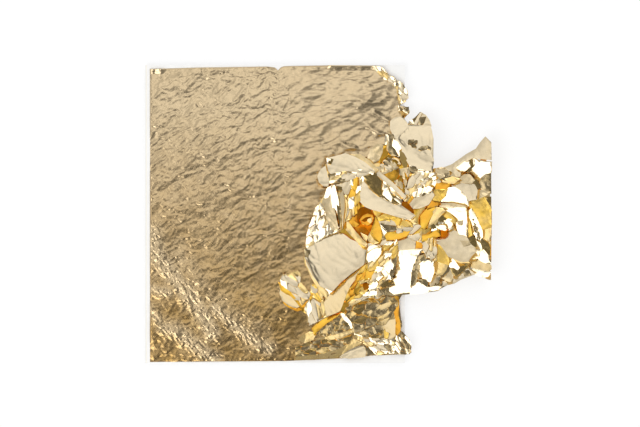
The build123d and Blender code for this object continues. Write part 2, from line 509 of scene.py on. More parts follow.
@dataclass(frozen=True)
class FoilTexture:
    """Sizes of the marks that a fold carries over its slope. Rises are in millimetres."""

    dent_size: float = 8.0 * MM
    dent_rise: float = 0.12
    vein_length: float = 9.0 * MM
    vein_width: float = 3.4 * MM
    vein_turn_deg: float = 40.0
    vein_start: float = 0.55
    vein_wander: float = 0.4
    ripples_along: float = 2.2
    ripples_across: float = 2.6
    ripple_wander: float = 0.5
    drift_size: float = 6.0 * MM
    shake_size: float = 2.2 * MM
    shake_shift: float = 31.0
    shake_rise: float = 0.6
    run_pace: float = 7.0 * MM
    step_pace: float = 4.2 * MM
    pleats: tuple[Pleats, ...] = (
        Pleats(1.0, 1.0, 0.5, drift=0.9),
        Pleats(0.7, -0.4, 1.0, drift=1.1, shift=0.3),
        Pleats(0.45, 2.3, -1.1, shake=0.8),
    )

    def crinkles(self, grid: FoldGrid, noise: GradientNoise) -> Array:
        """Height of the pleats that cross on a crushed fold, in units of its crinkle.

        Args:
            grid: the fold.
            noise: what bends the pleats.

        Returns:
            Array of the grid's shape.
        """
        drift = noise.value(grid.x / self.drift_size, grid.y / self.drift_size)
        shake = noise.value(grid.x / self.shake_size + self.shake_shift, grid.y / self.shake_size)
        run = grid.along * grid.length / self.run_pace
        step = grid.sideways * grid.breadth / self.step_pace
        total = np.zeros_like(run)
        for pleats in self.pleats:
            place = pleats.per_step * step + pleats.per_run * run + pleats.drift * drift
            total = total + pleats.strength * pleat(place + pleats.shake * shake + pleats.shift)
        return total + self.shake_rise * shake

    def marks(self, grid: FoldGrid, look: Look, number: int, noise: GradientNoise) -> Array:
        """Height of a fold's dents, raised veins and ripples.

        Args:
            grid: the fold.
            look: how strong its veins and ripples are.
            number: its place in the list, which turns and shifts the marks.
            noise: their pattern.

        Returns:
            Array of the grid's shape, in metres.
        """
        dents = noise.value(grid.x / self.dent_size, grid.y / self.dent_size + number)
        along, across = turned(grid.x, grid.y, math.radians(self.vein_turn_deg) + number)
        along, across = along / self.vein_length, across / self.vein_width
        ridges = noise.ridged(along + self.vein_wander * dents, across, 2)
        veins = np.maximum(ridges - self.vein_start, 0.0)
        ripples = noise.value(
            self.ripples_along * along, self.ripples_across * across + self.ripple_wander * dents)
        rise = self.dent_rise * dents + look.vein * veins + look.ripple * ripples
        return MM * rise


TEXTURE = FoilTexture()


@dataclass
class FoldedFoil:
    """A sheet of foil crushed into folds, each with its sides turned down into the next.

    Its mound is half an ellipsoid, from low at the rim to peak in the middle.
    """

    name: str
    node: str
    body: str
    view: Tracing
    folds: tuple[Fold, ...]
    middle_px: tuple[float, float]
    reach_px: tuple[float, float]
    low: float
    peak: float
    ceiling: float
    cell: float = 0.42 * MM
    bed_coarse: float = 1.6
    blunt_cells: float = 0.3
    blunt_most: float = 0.1
    layer_height: float = 1.3 * MM
    overlap: float = 0.50 * MM
    miter_least: float = 0.4
    arch_across: float = 4.0
    arch_along: float = 6.0
    clearance: float = 0.3 * MM
    floor_step: float = 0.04 * MM
    floor_steps: int = 9
    skirt_lean: float = 0.7 * MM
    skirt_depth: float = 1.8 * MM
    skirt_squeeze: float = 0.1
    skirt_steps: Points = ((-0.08, 0.22), (-1.0, 1.0))
    # Painted bounce light and shade: the rings that curl under get deeper gold step by step, and
    # hidden folds near the warm spots deeper still.
    hidden_painted_shade: tuple[float, ...] = (0.0, 0.05, 0.15)
    cool: float = 0.10
    slot: int = 0
    warm_spots: tuple[WarmSpot, ...] = ()
    crease_deg: float = 32.0
    shard_pace: tuple[float, float] = (2.2, 0.8)
    shard_shake: float = 0.40
    shard_bend: float = 1.8
    shard_lift: float = 0.5
    shard_least: float = 0.15
    corner_least: float = 0.05
    neighbour_reach: float = 3.0
    seed: int = 5

    def dome(self, x: Array, y: Array) -> Array:
        """Height of the crumple's general mound: a half ellipsoid over its outline.

        Args:
            x: places along X.
            y: places along Y.

        Returns:
            Heights in metres.
        """
        middle = PHOTO.place(np.array([self.middle_px]))[0]
        reach = np.array(self.reach_px) * PHOTO.pixel
        share = ((x - middle[0]) / reach[0]) ** 2 + ((y - middle[1]) / reach[1]) ** 2
        return self.low + (self.peak - self.low) * np.sqrt(np.clip(1.0 - share, 0.0, 1.0))

    def grown(self, outline: Array) -> Array:
        """Moves an outline's corners outward, so that neighbouring folds overlap a little.

        Args:
            outline: array of shape (n, 2).

        Returns:
            Array of the same shape.
        """
        ahead, behind = np.roll(outline, -1, axis=0), np.roll(outline, 1, axis=0)
        one = (outline - behind) / np.linalg.norm(outline - behind, axis=1, keepdims=True)
        two = (ahead - outline) / np.linalg.norm(ahead - outline, axis=1, keepdims=True)
        way = one + two
        way = way / np.maximum(np.linalg.norm(way, axis=1, keepdims=True), self.miter_least)
        outward = np.stack([way[:, 1], -way[:, 0]], axis=1)
        return outline + self.overlap * winding(outline) * outward

    def chains(self, outline: Array) -> tuple[Array, Array]:
        """Splits an outline at its two most distant corners into two sides that run the same way.

        Args:
            outline: array of shape (n, 2).

        Returns:
            The two sides, ordered so that the first lies to the right of the way along it.
        """
        gaps = np.linalg.norm(outline[:, None] - outline[None, :], axis=-1)
        first, last = sorted(np.unravel_index(int(np.argmax(gaps)), gaps.shape))
        one = outline[first : last + 1]
        other = np.concatenate([outline[last:], outline[: first + 1]])[::-1]
        return (one, other) if winding(outline) > 0.0 else (other, one)

    def slopes(self, place: Array, look: Look, rng: np.random.Generator) -> Array:
        """Slopes of a flat fold that mirrors a part of the studio to the camera.

        The fold's normal halves the angle between the way to the camera and the way to that part.

        Args:
            place: middle of the fold.
            look: which part it mirrors.
            rng: source of the fold's own small error.

        Returns:
            Rise along X and rise along Y.
        """
        aim = np.array(sphere_place(look.azimuth_deg, look.polar_deg, STUDIO.tent_radius))
        to_aim = aim - place
        to_camera = STUDIO.camera_place() - place
        normal = to_aim / np.linalg.norm(to_aim) + to_camera / np.linalg.norm(to_camera)
        error = np.tan(np.radians(rng.normal(size=2) * look.scatter_deg))
        return -normal[:2] / normal[2] + error

    def painted_light_and_shade_at(self, x: Array, y: Array) -> Array:
        """Painted bounce light and shade of the hidden folds: that of the strongest warm spot near
        by.

        Args:
            x: places along X.
            y: places along Y.

        Returns:
            Painted bounce light and shade from 0 to 1, a bell curve round each spot.
        """
        depth = np.full_like(x, self.cool)
        for spot in self.warm_spots:
            centre = self.view.place(spot.centre)[0]
            reach = spot.reach / self.view.enlargement * PHOTO.pixel
            near = np.exp(-((x - centre[0]) ** 2 + (y - centre[1]) ** 2) / (2.0 * reach**2))
            depth = np.maximum(depth, self.cool + (spot.painted_light_and_shade - self.cool) * near)
        return depth

    def spread(self, fold: Fold) -> FoldGrid:
        """Lays a grid between the two sides of a fold's outline.

        Args:
            fold: the fold.

        Returns:
            The grid, a little blunt at both ends so that no edge there has no length.
        """
        side, other = self.chains(self.grown(self.view.place(fold.outline)))
        length = np.linalg.norm(np.diff(side, axis=0), axis=1).sum()
        cell = self.cell * (self.bed_coarse if fold.bed else 1.0)
        blunt = min(self.blunt_cells * self.cell / length, self.blunt_most)
        shares = np.linspace(blunt, 1.0 - blunt, max(FEWEST_CELLS, int(length / cell)))
        near, far = resample(side, shares), resample(other, shares)
        breadth = np.linalg.norm(far - near, axis=1).max()
        columns = max(FEWEST_CELLS, int(breadth / cell))
        across = np.linspace(0.0, 1.0, columns)[None, :, None]
        flat = near[:, None, :] * (1.0 - across) + far[:, None, :] * across
        x, y = flat[..., 0], flat[..., 1]
        along, sideways = shares[:, None] * np.ones_like(x), across[..., 0] * np.ones_like(x)
        return FoldGrid(x, y, along, sideways, length, breadth)

    def lie(self, fold: Fold, look: Look, grid: FoldGrid, rng: np.random.Generator) -> Array:
        """Height of a fold without its marks: a plane arched both ways, or the mound for a bed.

        Args:
            fold: the fold.
            look: which part of the studio it mirrors.
            grid: its places.
            rng: source of its small error and of the way that each arch goes.

        Returns:
            Heights in metres.
        """
        lift = fold.layer * self.layer_height
        if fold.bed:
            return self.dome(grid.x, grid.y) + lift
        middle = np.array([grid.x.mean(), grid.y.mean(), 0.0])
        middle[2] = self.dome(middle[0], middle[1]) + lift
        rise = self.slopes(middle, look, rng)
        z = middle[2] + rise[0] * (grid.x - middle[0]) + rise[1] * (grid.y - middle[1])
        bend = math.tan(math.radians(look.bend_deg * fold.bend))
        for span, share, flatness in (
            (grid.breadth, grid.sideways, self.arch_across),
            (grid.length, grid.along, self.arch_along),
        ):
            arch = bend * span / flatness
            z = z + arch * 4.0 * share * (1.0 - share) * rng.choice([-1.0, 1.0])
        return z

    def settled(self, z: Array, floor: float, bed: bool) -> Array:
        """Moves a fold up or down between its floor and the ceiling, and flattens what is past.

        Args:
            z: heights.
            floor: the fold's least height.
            bed: whether it stays where it is.

        Returns:
            The new heights.
        """
        if bed:
            return np.clip(z, floor, self.ceiling)
        z = z + max(0.0, floor + self.clearance - z.min())
        z = z - max(0.0, z.max() - self.ceiling)
        return np.maximum(z, floor)

    def skirt(self, loop: Array, foot: float) -> list[Array]:
        """Rings that curl down and under from a fold's rim.

        Args:
            loop: the rim, array of shape (n, 3).
            foot: height that the rings press up against.

        Returns:
            One array of the same shape for each step down.
        """
        run_way = np.roll(loop, -1, axis=0)[:, :2] - np.roll(loop, 1, axis=0)[:, :2]
        size = np.maximum(np.linalg.norm(run_way, axis=1, keepdims=True), TINY)
        outward = np.stack([run_way[:, 1], -run_way[:, 0]], axis=1) / size
        least = foot + self.skirt_squeeze * (loop[:, 2] - foot)
        rings = []
        for lean_share, drop_share in self.skirt_steps:
            ring = loop.copy()
            ring[:, :2] += outward * self.skirt_lean * lean_share
            ring[:, 2] = np.maximum(loop[:, 2] - self.skirt_depth * drop_share, least)
            rings.append(ring)
        return rings

    def cap(self, fold: Fold, number: int, noise: GradientNoise, parts: MeshParts) -> None:
        """Adds one fold: its grid, the rings that curl under from its rim, and an underside.

        Args:
            fold: the fold.
            number: its place in the list, which fixes its random lean.
            noise: pattern of its marks.
            parts: where its shell goes.
        """
        look = fold.tone.value
        grid = self.spread(fold)
        z = self.lie(fold, look, grid, np.random.default_rng(self.seed * FOLD_SEEDS + number))
        if fold.crinkle > 0.0:
            z = z + fold.crinkle * MM * TEXTURE.crinkles(grid, noise)
        z = z + TEXTURE.marks(grid, look, number, noise)
        floor = self.low + self.floor_step * (number % self.floor_steps)
        z = self.settled(z, floor, fold.bed)

        top = np.stack([grid.x, grid.y, z], axis=-1).reshape(-1, 3)
        rim = rim_of_grid(*z.shape)
        rings = self.skirt(top[rim], floor - self.clearance)
        vertices = np.concatenate([top, *rings])
        vertices[:, 0] = np.minimum(vertices[:, 0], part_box(self.node)[1].x)
        faces = grid_faces(*z.shape)
        levels = [rim] + [len(top) + k * len(rim) + np.arange(len(rim)) for k in range(len(rings))]
        for upper, lower in zip(levels, levels[1:]):
            faces += wall_faces(upper, lower)
        faces += bottom_faces(levels[-1], *z.shape)
        # Painted bounce light and shade: deeper gold under the rim and near warm spots; a fold's
        # top keeps its tone's own amount.
        spots = self.painted_light_and_shade_at(vertices[:, 0], vertices[:, 1])
        counts = [len(top)] + [len(rim)] * len(rings)
        painted_light_and_shade = np.maximum(spots + np.repeat(self.hidden_painted_shade, counts), look.painted_light_and_shade)
        if not fold.bed:
            painted_light_and_shade[: len(top)] = look.painted_light_and_shade
        parts.add(vertices, faces, painted_light_and_shade, np.full(len(vertices), look.crush), self.slot)

    def shards(self, fold: Fold, number: int) -> list[Fold]:
        """Breaks a heap into small folds: the cells round the points of a shaken, stretched grid.

        A cell is what is left of the heap once everything nearer to another point is cut away.

        Args:
            fold: the heap.
            number: its place in the list, which fixes the shake.

        Returns:
            One fold for each cell, with a tone drawn from the heap's mix.
        """
        rng = np.random.default_rng(self.seed * HEAP_SEEDS + number)
        grain = math.radians(fold.grain_deg)
        turn = np.array(
            [[math.cos(grain), math.sin(grain)], [-math.sin(grain), math.cos(grain)]])
        pace = fold.shard * np.array(self.shard_pace)
        local = np.reshape(fold.outline, (-1, 2)) @ turn.T / pace
        left, low = np.floor(local.min(axis=0)) - 1.0
        right, high = np.ceil(local.max(axis=0)) + 1.0
        columns, rows = np.meshgrid(np.arange(left, right + 1.0), np.arange(low, high + 1.0))
        points = np.stack([columns.ravel() + 0.5 * (rows.ravel() % 2.0), rows.ravel()], axis=1)
        points = points + rng.uniform(-self.shard_shake, self.shard_shake, points.shape)
        tones, shares = zip(*fold.tone.value)
        draws = rng.choice(len(tones), len(points), p=shares)
        lifts = rng.uniform(-self.shard_lift, self.shard_lift, len(points))
        made = []
        for order, point in enumerate(points):
            cell = local
            near = np.linalg.norm(points - point, axis=1) < self.neighbour_reach
            for other in points[near]:
                if len(cell) and (other != point).any():
                    cell = kept_side(cell, (point + other) / 2.0, other - point)
            edges = np.linalg.norm(cell - np.roll(cell, 1, axis=0), axis=1)
            cell = cell[edges > self.corner_least]
            if len(cell) < 3 or np.ptp(cell, axis=0).min() < self.shard_least:
                continue
            outline = tuple((cell * pace @ turn).ravel())
            made.append(Fold(
                f"{fold.name}_{order}", tones[draws[order]], fold.layer + lifts[order], outline,
                fold.crinkle, self.shard_bend))
        return made

    def add_folds(self, parts: MeshParts) -> None:
        """Adds every fold of the list, heaps as their small folds.

        Args:
            parts: where their shells go.
        """
        noise = GradientNoise(self.seed)
        for number, fold in enumerate(self.folds):
            pieces = self.shards(fold, number) if isinstance(fold.tone, Mix) else [fold]
            for order, piece in enumerate(pieces):
                self.cap(piece, number + SHARD_NUMBERS * order, noise, parts)

    def build(self) -> bpy.types.Object:
        """Makes every fold and joins them in one piece that replaces the plain solid.

        Returns:
            The finished piece.
        """
        parts = MeshParts()
        self.add_folds(parts)
        obj = make_object(self.name, parts, self.crease_deg)
        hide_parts(self.node)
        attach(obj, self.body)
        return obj


CRUMPLE_FOLDS = (
    Fold("bed_left", Tone.LEMON, -3.6, (
        200, 960, 270, 700, 340, 600, 350, 480, 620, 420, 700, 480, 700, 1100, 500, 1280, 330, 1290,
        240, 1130), crinkle=0.10, bed=True),
    Fold("bed_middle", Tone.LEMON, -3.0, (
        640, 440, 720, 300, 800, 320, 870, 440, 1100, 480, 1200, 540, 1180, 1000, 1000, 1150,
        640, 1240, 600, 900), crinkle=0.10, bed=True),
    Fold("bed_right", Tone.PALE, -3.4, (
        1050, 470, 1280, 410, 1390, 420, 1395, 1150, 1240, 1120, 1080, 1200, 1000, 1150),
        crinkle=0.10, bed=True),
    Fold("bed_quill", Tone.TAN, -2.2, (
        606, 405, 650, 306, 712, 296, 740, 226, 800, 320, 868, 446, 845, 600, 700, 500),
        crinkle=0.2, bed=True),
    Fold("bed_foot", Tone.LEMON, -1.8, (
        205, 1450, 210, 1400, 210, 1250, 320, 1290, 480, 1270, 640, 1090, 720, 1270, 600, 1286,
        430, 1366, 300, 1436), crinkle=0.10, bed=True),
    Fold("bed_hem", Tone.PALE, -3.6, (
        600, 1284, 560, 1180, 700, 960, 1040, 900, 1140, 1050, 1140, 1190, 1050, 1236, 940, 1252,
        760, 1272, 680, 1258), crinkle=0.10, bed=True),
    Fold("ear", Tone.CREAM, -0.6, (
        325, 432, 337, 460, 342, 491, 342, 529, 337, 563, 312, 558, 287, 537, 277, 504, 285, 479,
        298, 458, 312, 445)),
    Fold("ear_line", Tone.OLIVE, -0.3, (
        325, 425, 333, 428, 350, 480, 352, 500, 342, 500, 338, 465)),
    Fold("brow", Tone.CREAM, 0.6, (
        333, 385, 392, 376, 451, 357, 505, 378, 570, 412, 640, 466, 560, 472, 451, 460, 392, 470,
        358, 481, 346, 462, 337, 424)),
    Fold("brow_back", Tone.PALE, 0.1, (
        440, 360, 545, 363, 608, 405, 660, 462, 640, 470, 560, 410, 490, 374)),
    Fold("brow_tip", Tone.WHITE, 1.1, (333, 384, 352, 388, 346, 410, 336, 420)),
    Fold("brow_tip_dark", Tone.DARK, 1.2, (350, 388, 370, 392, 356, 418, 344, 414)),
    Fold("knot", Mix.SILVER, 0.3, (
        344, 486, 392, 470, 547, 462, 640, 470, 625, 487, 547, 497, 501, 510, 451, 529, 409, 546,
        375, 548, 350, 544), shard=28.0, grain_deg=-25.0),
    Fold("under_brow", Tone.BEIGE, 0.1, (
        379, 548, 426, 537, 476, 506, 493, 514, 484, 563, 467, 613, 451, 615, 434, 579, 405, 563),
        crinkle=0.03),
    Fold("notch", Tone.DARK, 0.9, (400, 567, 426, 573, 417, 596, 409, 592)),
    Fold("pinch_white", Tone.WHITE, 1.2, (
        363, 563, 379, 563, 400, 655, 409, 747, 417, 845, 405, 846, 375, 714, 363, 630)),
    Fold("pinch_olive", Tone.OLIVE, 0.9, (
        381, 565, 405, 588, 409, 638, 415, 714, 419, 789, 419, 845, 407, 747, 398, 655)),
    Fold("pinch_tan", Tone.TAN, 0.7, (
        407, 588, 430, 598, 438, 642, 442, 697, 434, 756, 428, 840, 419, 845, 415, 714)),
    Fold("pinch_lemon", Tone.LEMON, 0.5, (
        440, 630, 459, 660, 459, 690, 451, 756, 430, 840, 424, 845, 434, 756, 444, 697)),
    Fold("cheek_top", Tone.WHITE, 0.6, (337, 580, 363, 565, 366, 600, 325, 648, 318, 640)),
    Fold("cheek_tan", Tone.TAN, 0.3, (
        312, 651, 363, 596, 367, 663, 383, 756, 405, 848, 367, 842, 337, 777, 300, 697),
        crinkle=0.05),
    Fold("cheek_glare", Mix.SHEEN, 0.1, (
        291, 676, 304, 697, 337, 777, 375, 848, 405, 852, 333, 882, 262, 926, 196, 970, 207, 882,
        216, 836, 241, 777, 258, 714), shard=34.0, grain_deg=110.0),
    Fold("temple", Mix.GOLD, -0.1, (
        493, 504, 547, 490, 571, 508, 557, 541, 543, 597, 543, 653, 520, 700, 522, 739, 476, 773,
        455, 790, 451, 735, 459, 672, 447, 630, 467, 613, 484, 563), shard=34.0, grain_deg=100.0),
    Fold("temple_tri", Tone.GOLD, 0.4, (505, 650, 540, 600, 543, 655, 515, 690)),
    Fold("cave", Tone.EMBER, -1.3, (
        529, 737, 551, 709, 585, 704, 630, 726, 675, 757, 644, 768, 638, 810, 596, 816, 563, 810,
        540, 821, 535, 788)),
    Fold("crescent", Tone.ORANGE, -0.8, (
        551, 782, 568, 760, 596, 748, 624, 754, 630, 765, 619, 793, 596, 813, 563, 807)),
    Fold("crescent_glint", Tone.LEMON, -0.5, (574, 799, 600, 783, 619, 771, 617, 790, 596, 810)),
    Fold("crescent_slit", Tone.EMBER, -0.4, (560, 786, 585, 772, 613, 764, 600, 775, 575, 790)),
    Fold("cavity_floor", Tone.AMBER, -1.5, (
        470, 800, 524, 821, 540, 821, 563, 810, 619, 821, 613, 855, 596, 883, 588, 939, 551, 905,
        507, 855)),
    Fold("cavity_pleat", Tone.ORANGE, -0.9, (470, 800, 500, 790, 535, 812, 524, 821, 490, 822)),
    Fold("cavity_shade", Tone.EMBER, -1.1, (507, 860, 540, 870, 560, 905, 585, 933, 551, 908)),
    Fold("cavity_fringe", Tone.LEMON, -0.3, (552, 868, 575, 884, 592, 890, 586, 930, 575, 905)),
    Fold("cavity_rim", Tone.LEMON, 0.2, (
        451, 765, 467, 799, 507, 855, 551, 905, 588, 939, 582, 953, 535, 925, 484, 870, 447, 830)),
    Fold("panel", Tone.CREAM, 0.7, (
        200, 975, 278, 926, 366, 879, 401, 867, 436, 879, 483, 914, 542, 937, 589, 955, 577, 1002,
        566, 1067, 483, 1126, 419, 1178, 366, 1237, 342, 1226, 289, 1202, 260, 1149, 213, 1055,
        195, 1026)),
    Fold("panel_corner", Tone.BROWN, 1.1, (189, 973, 213, 984, 236, 984, 219, 1020, 195, 1020)),
    Fold("panel_fold", Tone.CREAM, 0.9, (
        195, 1031, 219, 1037, 248, 1084, 266, 1143, 289, 1202, 248, 1149, 207, 1072)),
    Fold("panel_rim", Tone.LEMON, -0.1, (
        184, 1026, 195, 1043, 242, 1137, 272, 1178, 331, 1261, 331, 1296, 295, 1249, 236, 1155,
        189, 1055)),
    Fold("panel_glint", Tone.WHITE, 0.5, (
        295, 1208, 325, 1226, 366, 1231, 354, 1261, 331, 1284, 313, 1249)),
    Fold("wedge", Mix.GOLD, -0.3, (
        231, 1214, 248, 1202, 272, 1226, 331, 1302, 295, 1308, 236, 1278, 225, 1249), shard=24.0,
        grain_deg=55.0),
    Fold("apron", Tone.BUTTER, 0.0, (
        572, 1067, 566, 1096, 530, 1143, 483, 1202, 454, 1261, 425, 1337, 413, 1367, 330, 1405,
        320, 1320, 366, 1249, 425, 1184, 495, 1126)),
    Fold("apron_foot", Mix.PALE, -0.5, (
        189, 1355, 225, 1296, 272, 1308, 330, 1310, 335, 1400, 278, 1437, 219, 1466, 213, 1408),
        shard=44.0, grain_deg=80.0),
    Fold("tongue", Mix.PALE, -0.4, (
        31, 1178, 48, 1143, 101, 1131, 142, 1117, 157, 1137, 154, 1190, 189, 1226, 219, 1261,
        213, 1290, 166, 1337, 125, 1296, 89, 1255, 48, 1226), shard=36.0, grain_deg=40.0),
    Fold("tongue_band", Tone.YELLOW, -0.3, (
        22, 1190, 40, 1215, 48, 1226, 89, 1255, 131, 1302, 160, 1340, 150, 1346, 120, 1315,
        80, 1268, 36, 1238)),
    Fold("tongue_low", Tone.BUTTER, -0.7, (
        28, 1230, 60, 1255, 107, 1300, 148, 1345, 131, 1352, 84, 1333, 48, 1304, 30, 1261),
        crinkle=0.03),
    Fold("tongue_rim", Tone.ORANGE, -1.0, (
        46, 1300, 84, 1333, 131, 1349, 166, 1366, 140, 1372, 90, 1350, 55, 1325)),
    Fold("tongue_root", Mix.FIRE, -0.5, (
        213, 1273, 235, 1285, 225, 1308, 189, 1367, 207, 1396, 178, 1378, 160, 1349, 180, 1325),
        shard=26.0, grain_deg=70.0),
    Fold("sail", Tone.IVORY, 1.0, (
        571, 508, 602, 552, 635, 592, 675, 625, 731, 659, 798, 687, 896, 754, 865, 776, 798, 760,
        719, 737, 619, 709, 579, 692, 543, 653, 540, 597, 557, 541)),
    Fold("sail_tip", Tone.WHITE, 1.5, (830, 757, 870, 745, 896, 755, 866, 778, 836, 770)),
    Fold("sail_dark", Tone.DARK, 0.8, (
        571, 502, 635, 482, 647, 485, 691, 524, 697, 541, 686, 620, 675, 625, 635, 592, 602, 552),
        crinkle=0.03),
    Fold("sail_silver", Mix.SPECKLE, 0.8, (
        697, 536, 742, 575, 787, 608, 815, 642, 809, 676, 787, 683, 742, 664, 691, 631), shard=22.0,
        grain_deg=45.0),
    Fold("silver_shard", Tone.WHITE, 1.1, (
        697, 586, 719, 580, 736, 620, 764, 664, 742, 664, 697, 636)),
    Fold("silver_dark", Tone.DARK, 1.1, (747, 620, 798, 627, 809, 653, 798, 676, 764, 664)),
    Fold("ridge", Tone.CREAM, 1.2, (
        636, 464, 662, 470, 752, 545, 838, 632, 830, 645, 742, 560, 650, 482)),
    Fold("quill_left", Tone.TAN, 0.2, (
        593, 393, 619, 334, 658, 295, 691, 300, 686, 345, 663, 396, 619, 415), crinkle=0.05),
    Fold("quill_amber", Tone.UMBER, 0.1, (
        719, 306, 725, 340, 714, 384, 675, 412, 658, 396, 675, 351, 703, 312), crinkle=0.04),
    Fold("crackle", Mix.CRACKLE, 0.0, (
        714, 384, 731, 368, 787, 396, 809, 424, 787, 446, 742, 468, 697, 485, 675, 440), shard=20.0,
        grain_deg=30.0),
    Fold("quill_brown", Tone.BROWN, 0.4, (
        725, 261, 759, 261, 764, 317, 787, 368, 753, 362, 725, 328), crinkle=0.03),
    Fold("quill_top", Tone.BROWN, 0.5, (
        728, 225, 761, 232, 761, 261, 748, 301, 732, 294, 725, 261)),
    Fold("quill_white", Tone.WHITE, 0.6, (
        762, 262, 790, 287, 809, 328, 806, 362, 792, 372, 777, 346, 760, 310)),
    Fold("quill_sliver", Tone.SILVER, 0.3, (
        712, 235, 725, 235, 727, 268, 738, 314, 725, 330, 712, 290)),
    Fold("quill_gold", Tone.HONEY, 0.2, (
        803, 336, 823, 353, 849, 398, 866, 431, 862, 457, 852, 457, 836, 444, 810, 392)),
    Fold("hollow_strip", Mix.CRACKLE, -0.2, (
        635, 446, 675, 440, 697, 485, 708, 497, 725, 530, 697, 513, 652, 480), shard=20.0,
        grain_deg=50.0),
    Fold("hollow_pit", Tone.UMBER, -0.6, (
        708, 497, 753, 452, 798, 457, 809, 497, 792, 524, 764, 536, 753, 541, 725, 530),
        crinkle=0.05),
    Fold("hollow_slope", Mix.CRACKLE, -0.1, (
        798, 457, 859, 446, 862, 485, 843, 530, 837, 597, 831, 628, 787, 590, 753, 541, 792, 524,
        809, 497), shard=26.0, grain_deg=75.0),
    Fold("lobe_speckle", Mix.SPECKLE, 0.5, (
        865, 435, 915, 446, 960, 468, 1010, 470, 1030, 500, 960, 490, 900, 485, 872, 470),
        shard=20.0),
    Fold("lobe_gold", Mix.PALE, 0.5, (
        865, 530, 885, 492, 943, 470, 971, 475, 971, 496, 932, 552, 876, 625, 837, 672, 831, 653,
        843, 597), shard=30.0, grain_deg=-60.0),
    Fold("lobe_silver", Mix.SILVER, 0.6, (
        971, 480, 1030, 482, 1032, 540, 1010, 595, 950, 622, 905, 640, 885, 622, 932, 552),
        shard=24.0, grain_deg=-50.0),
    Fold("lobe_beige", Tone.BEIGE, 0.8, (
        870, 680, 905, 640, 950, 622, 1008, 592, 1020, 622, 984, 680, 930, 702, 890, 706),
        crinkle=0.03),
    Fold("gash", Tone.EMBER, 0.3, (809, 670, 843, 676, 876, 698, 893, 737, 865, 728, 831, 704)),
    Fold("flag_lobe", Tone.IVORY, 0.9, (
        748, 144, 777, 124, 810, 118, 830, 131, 849, 157, 856, 176, 836, 196, 810, 222, 794, 255,
        774, 250, 761, 222, 748, 189)),
    Fold("flag", Tone.IVORY, 0.75, (
        856, 170, 895, 173, 947, 176, 999, 178, 1006, 203, 1016, 261, 1016, 390, 921, 340, 849, 294,
        794, 255, 810, 222, 843, 193)),
    Fold("flag_lower", Tone.IVORY, 0.7, (
        790, 252, 849, 294, 921, 340, 1018, 386, 1016, 412, 1009, 467, 973, 457, 908, 444, 872, 431,
        849, 392, 820, 346, 776, 262)),
    Fold("flag_tip_dark", Tone.DARK, 0.7, (
        885, 137, 914, 118, 941, 85, 947, 88, 937, 111, 908, 144, 895, 162, 882, 160)),
    Fold("flag_tip_specks", Tone.SILVER, 0.6, (869, 147, 885, 137, 895, 160, 885, 175, 862, 169)),
    Fold("flag_tip_line", Tone.CREAM, 0.9, (941, 91, 950, 86, 912, 160, 888, 176)),
    Fold("flag_tip_beige", Tone.BEIGE, 0.5, (
        947, 88, 973, 105, 993, 134, 1006, 173, 1002, 184, 960, 176, 914, 172, 928, 127)),
    Fold("flag_tip_brown", Tone.BROWN, 0.9, (937, 121, 973, 114, 960, 144, 941, 173, 934, 150)),
    Fold("fleck_one", Tone.BROWN, 1.3, (862, 268, 892, 266, 890, 276, 860, 290)),
    Fold("fleck_two", Tone.BROWN, 1.3, (898, 272, 914, 270, 912, 284, 900, 282)),
    Fold("fleck_three", Tone.BROWN, 1.3, (876, 292, 904, 298, 908, 308, 884, 304)),
    Fold("fleck_four", Tone.BROWN, 1.3, (926, 324, 944, 312, 984, 306, 984, 318, 940, 326)),
    Fold("fleck_five", Tone.BROWN, 1.3, (980, 304, 1002, 318, 1000, 326, 984, 320)),
    Fold("shoulder_root", Mix.CRACKLE, 0.2, (
        1022, 455, 1086, 446, 1107, 468, 1132, 473, 1162, 498, 1190, 505, 1142, 508, 1097, 523,
        1041, 545, 1030, 500), shard=26.0, grain_deg=20.0),
    Fold("shoulder", Tone.BEIGE, 0.4, (
        1092, 445, 1147, 427, 1238, 362, 1303, 325, 1332, 282, 1360, 247, 1400, 292, 1400, 392,
        1369, 387, 1329, 382, 1288, 380, 1268, 385, 1223, 410, 1182, 430, 1170, 445, 1193, 478,
        1190, 503, 1162, 498, 1132, 473, 1107, 468)),
    Fold("shoulder_tip", Tone.DARK, 0.9, (1346, 268, 1364, 248, 1388, 292, 1342, 292)),
    Fold("shoulder_spot", Tone.BROWN, 0.9, (
        1329, 385, 1350, 376, 1372, 384, 1360, 398, 1338, 398)),
    Fold("wing_white", Tone.WHITE, 0.8, (
        1172, 447, 1223, 412, 1248, 410, 1253, 437, 1223, 463, 1193, 475)),
    Fold("wing_dark", Tone.DARK, 0.9, (
        1238, 412, 1273, 387, 1278, 427, 1253, 473, 1233, 457, 1253, 432)),
    Fold("wing_glare", Tone.WHITE, 0.8, (
        1278, 385, 1323, 402, 1369, 412, 1399, 410, 1399, 473, 1369, 478, 1339, 503, 1323, 568,
        1293, 523, 1263, 493, 1243, 473, 1283, 427), crinkle=0.03),
    Fold("wing_brown", Tone.BROWN, 0.6, (
        1344, 498, 1379, 473, 1399, 473, 1399, 609, 1369, 609, 1334, 579, 1329, 538), crinkle=0.04),
    Fold("wing_wedge", Tone.DARK, 1.1, (1283, 528, 1298, 523, 1323, 573, 1313, 579, 1293, 558)),
    Fold("dome_top", Tone.TAN, 1.2, (
        1188, 518, 1223, 493, 1253, 493, 1283, 528, 1263, 543, 1223, 538, 1195, 530)),
    Fold("dome_beige", Tone.CREAM, 1.1, (
        1127, 553, 1193, 540, 1243, 543, 1283, 558, 1298, 589, 1293, 649, 1263, 649, 1238, 659,
        1203, 609, 1157, 579)),
    Fold("dome_bit", Tone.TAN, 0.9, (
        1293, 589, 1334, 594, 1384, 602, 1369, 614, 1339, 629, 1298, 649)),
    Fold("strap_lemon", Tone.LEMON, 1.0, (
        1060, 545, 1097, 523, 1142, 508, 1188, 520, 1152, 543, 1110, 548)),
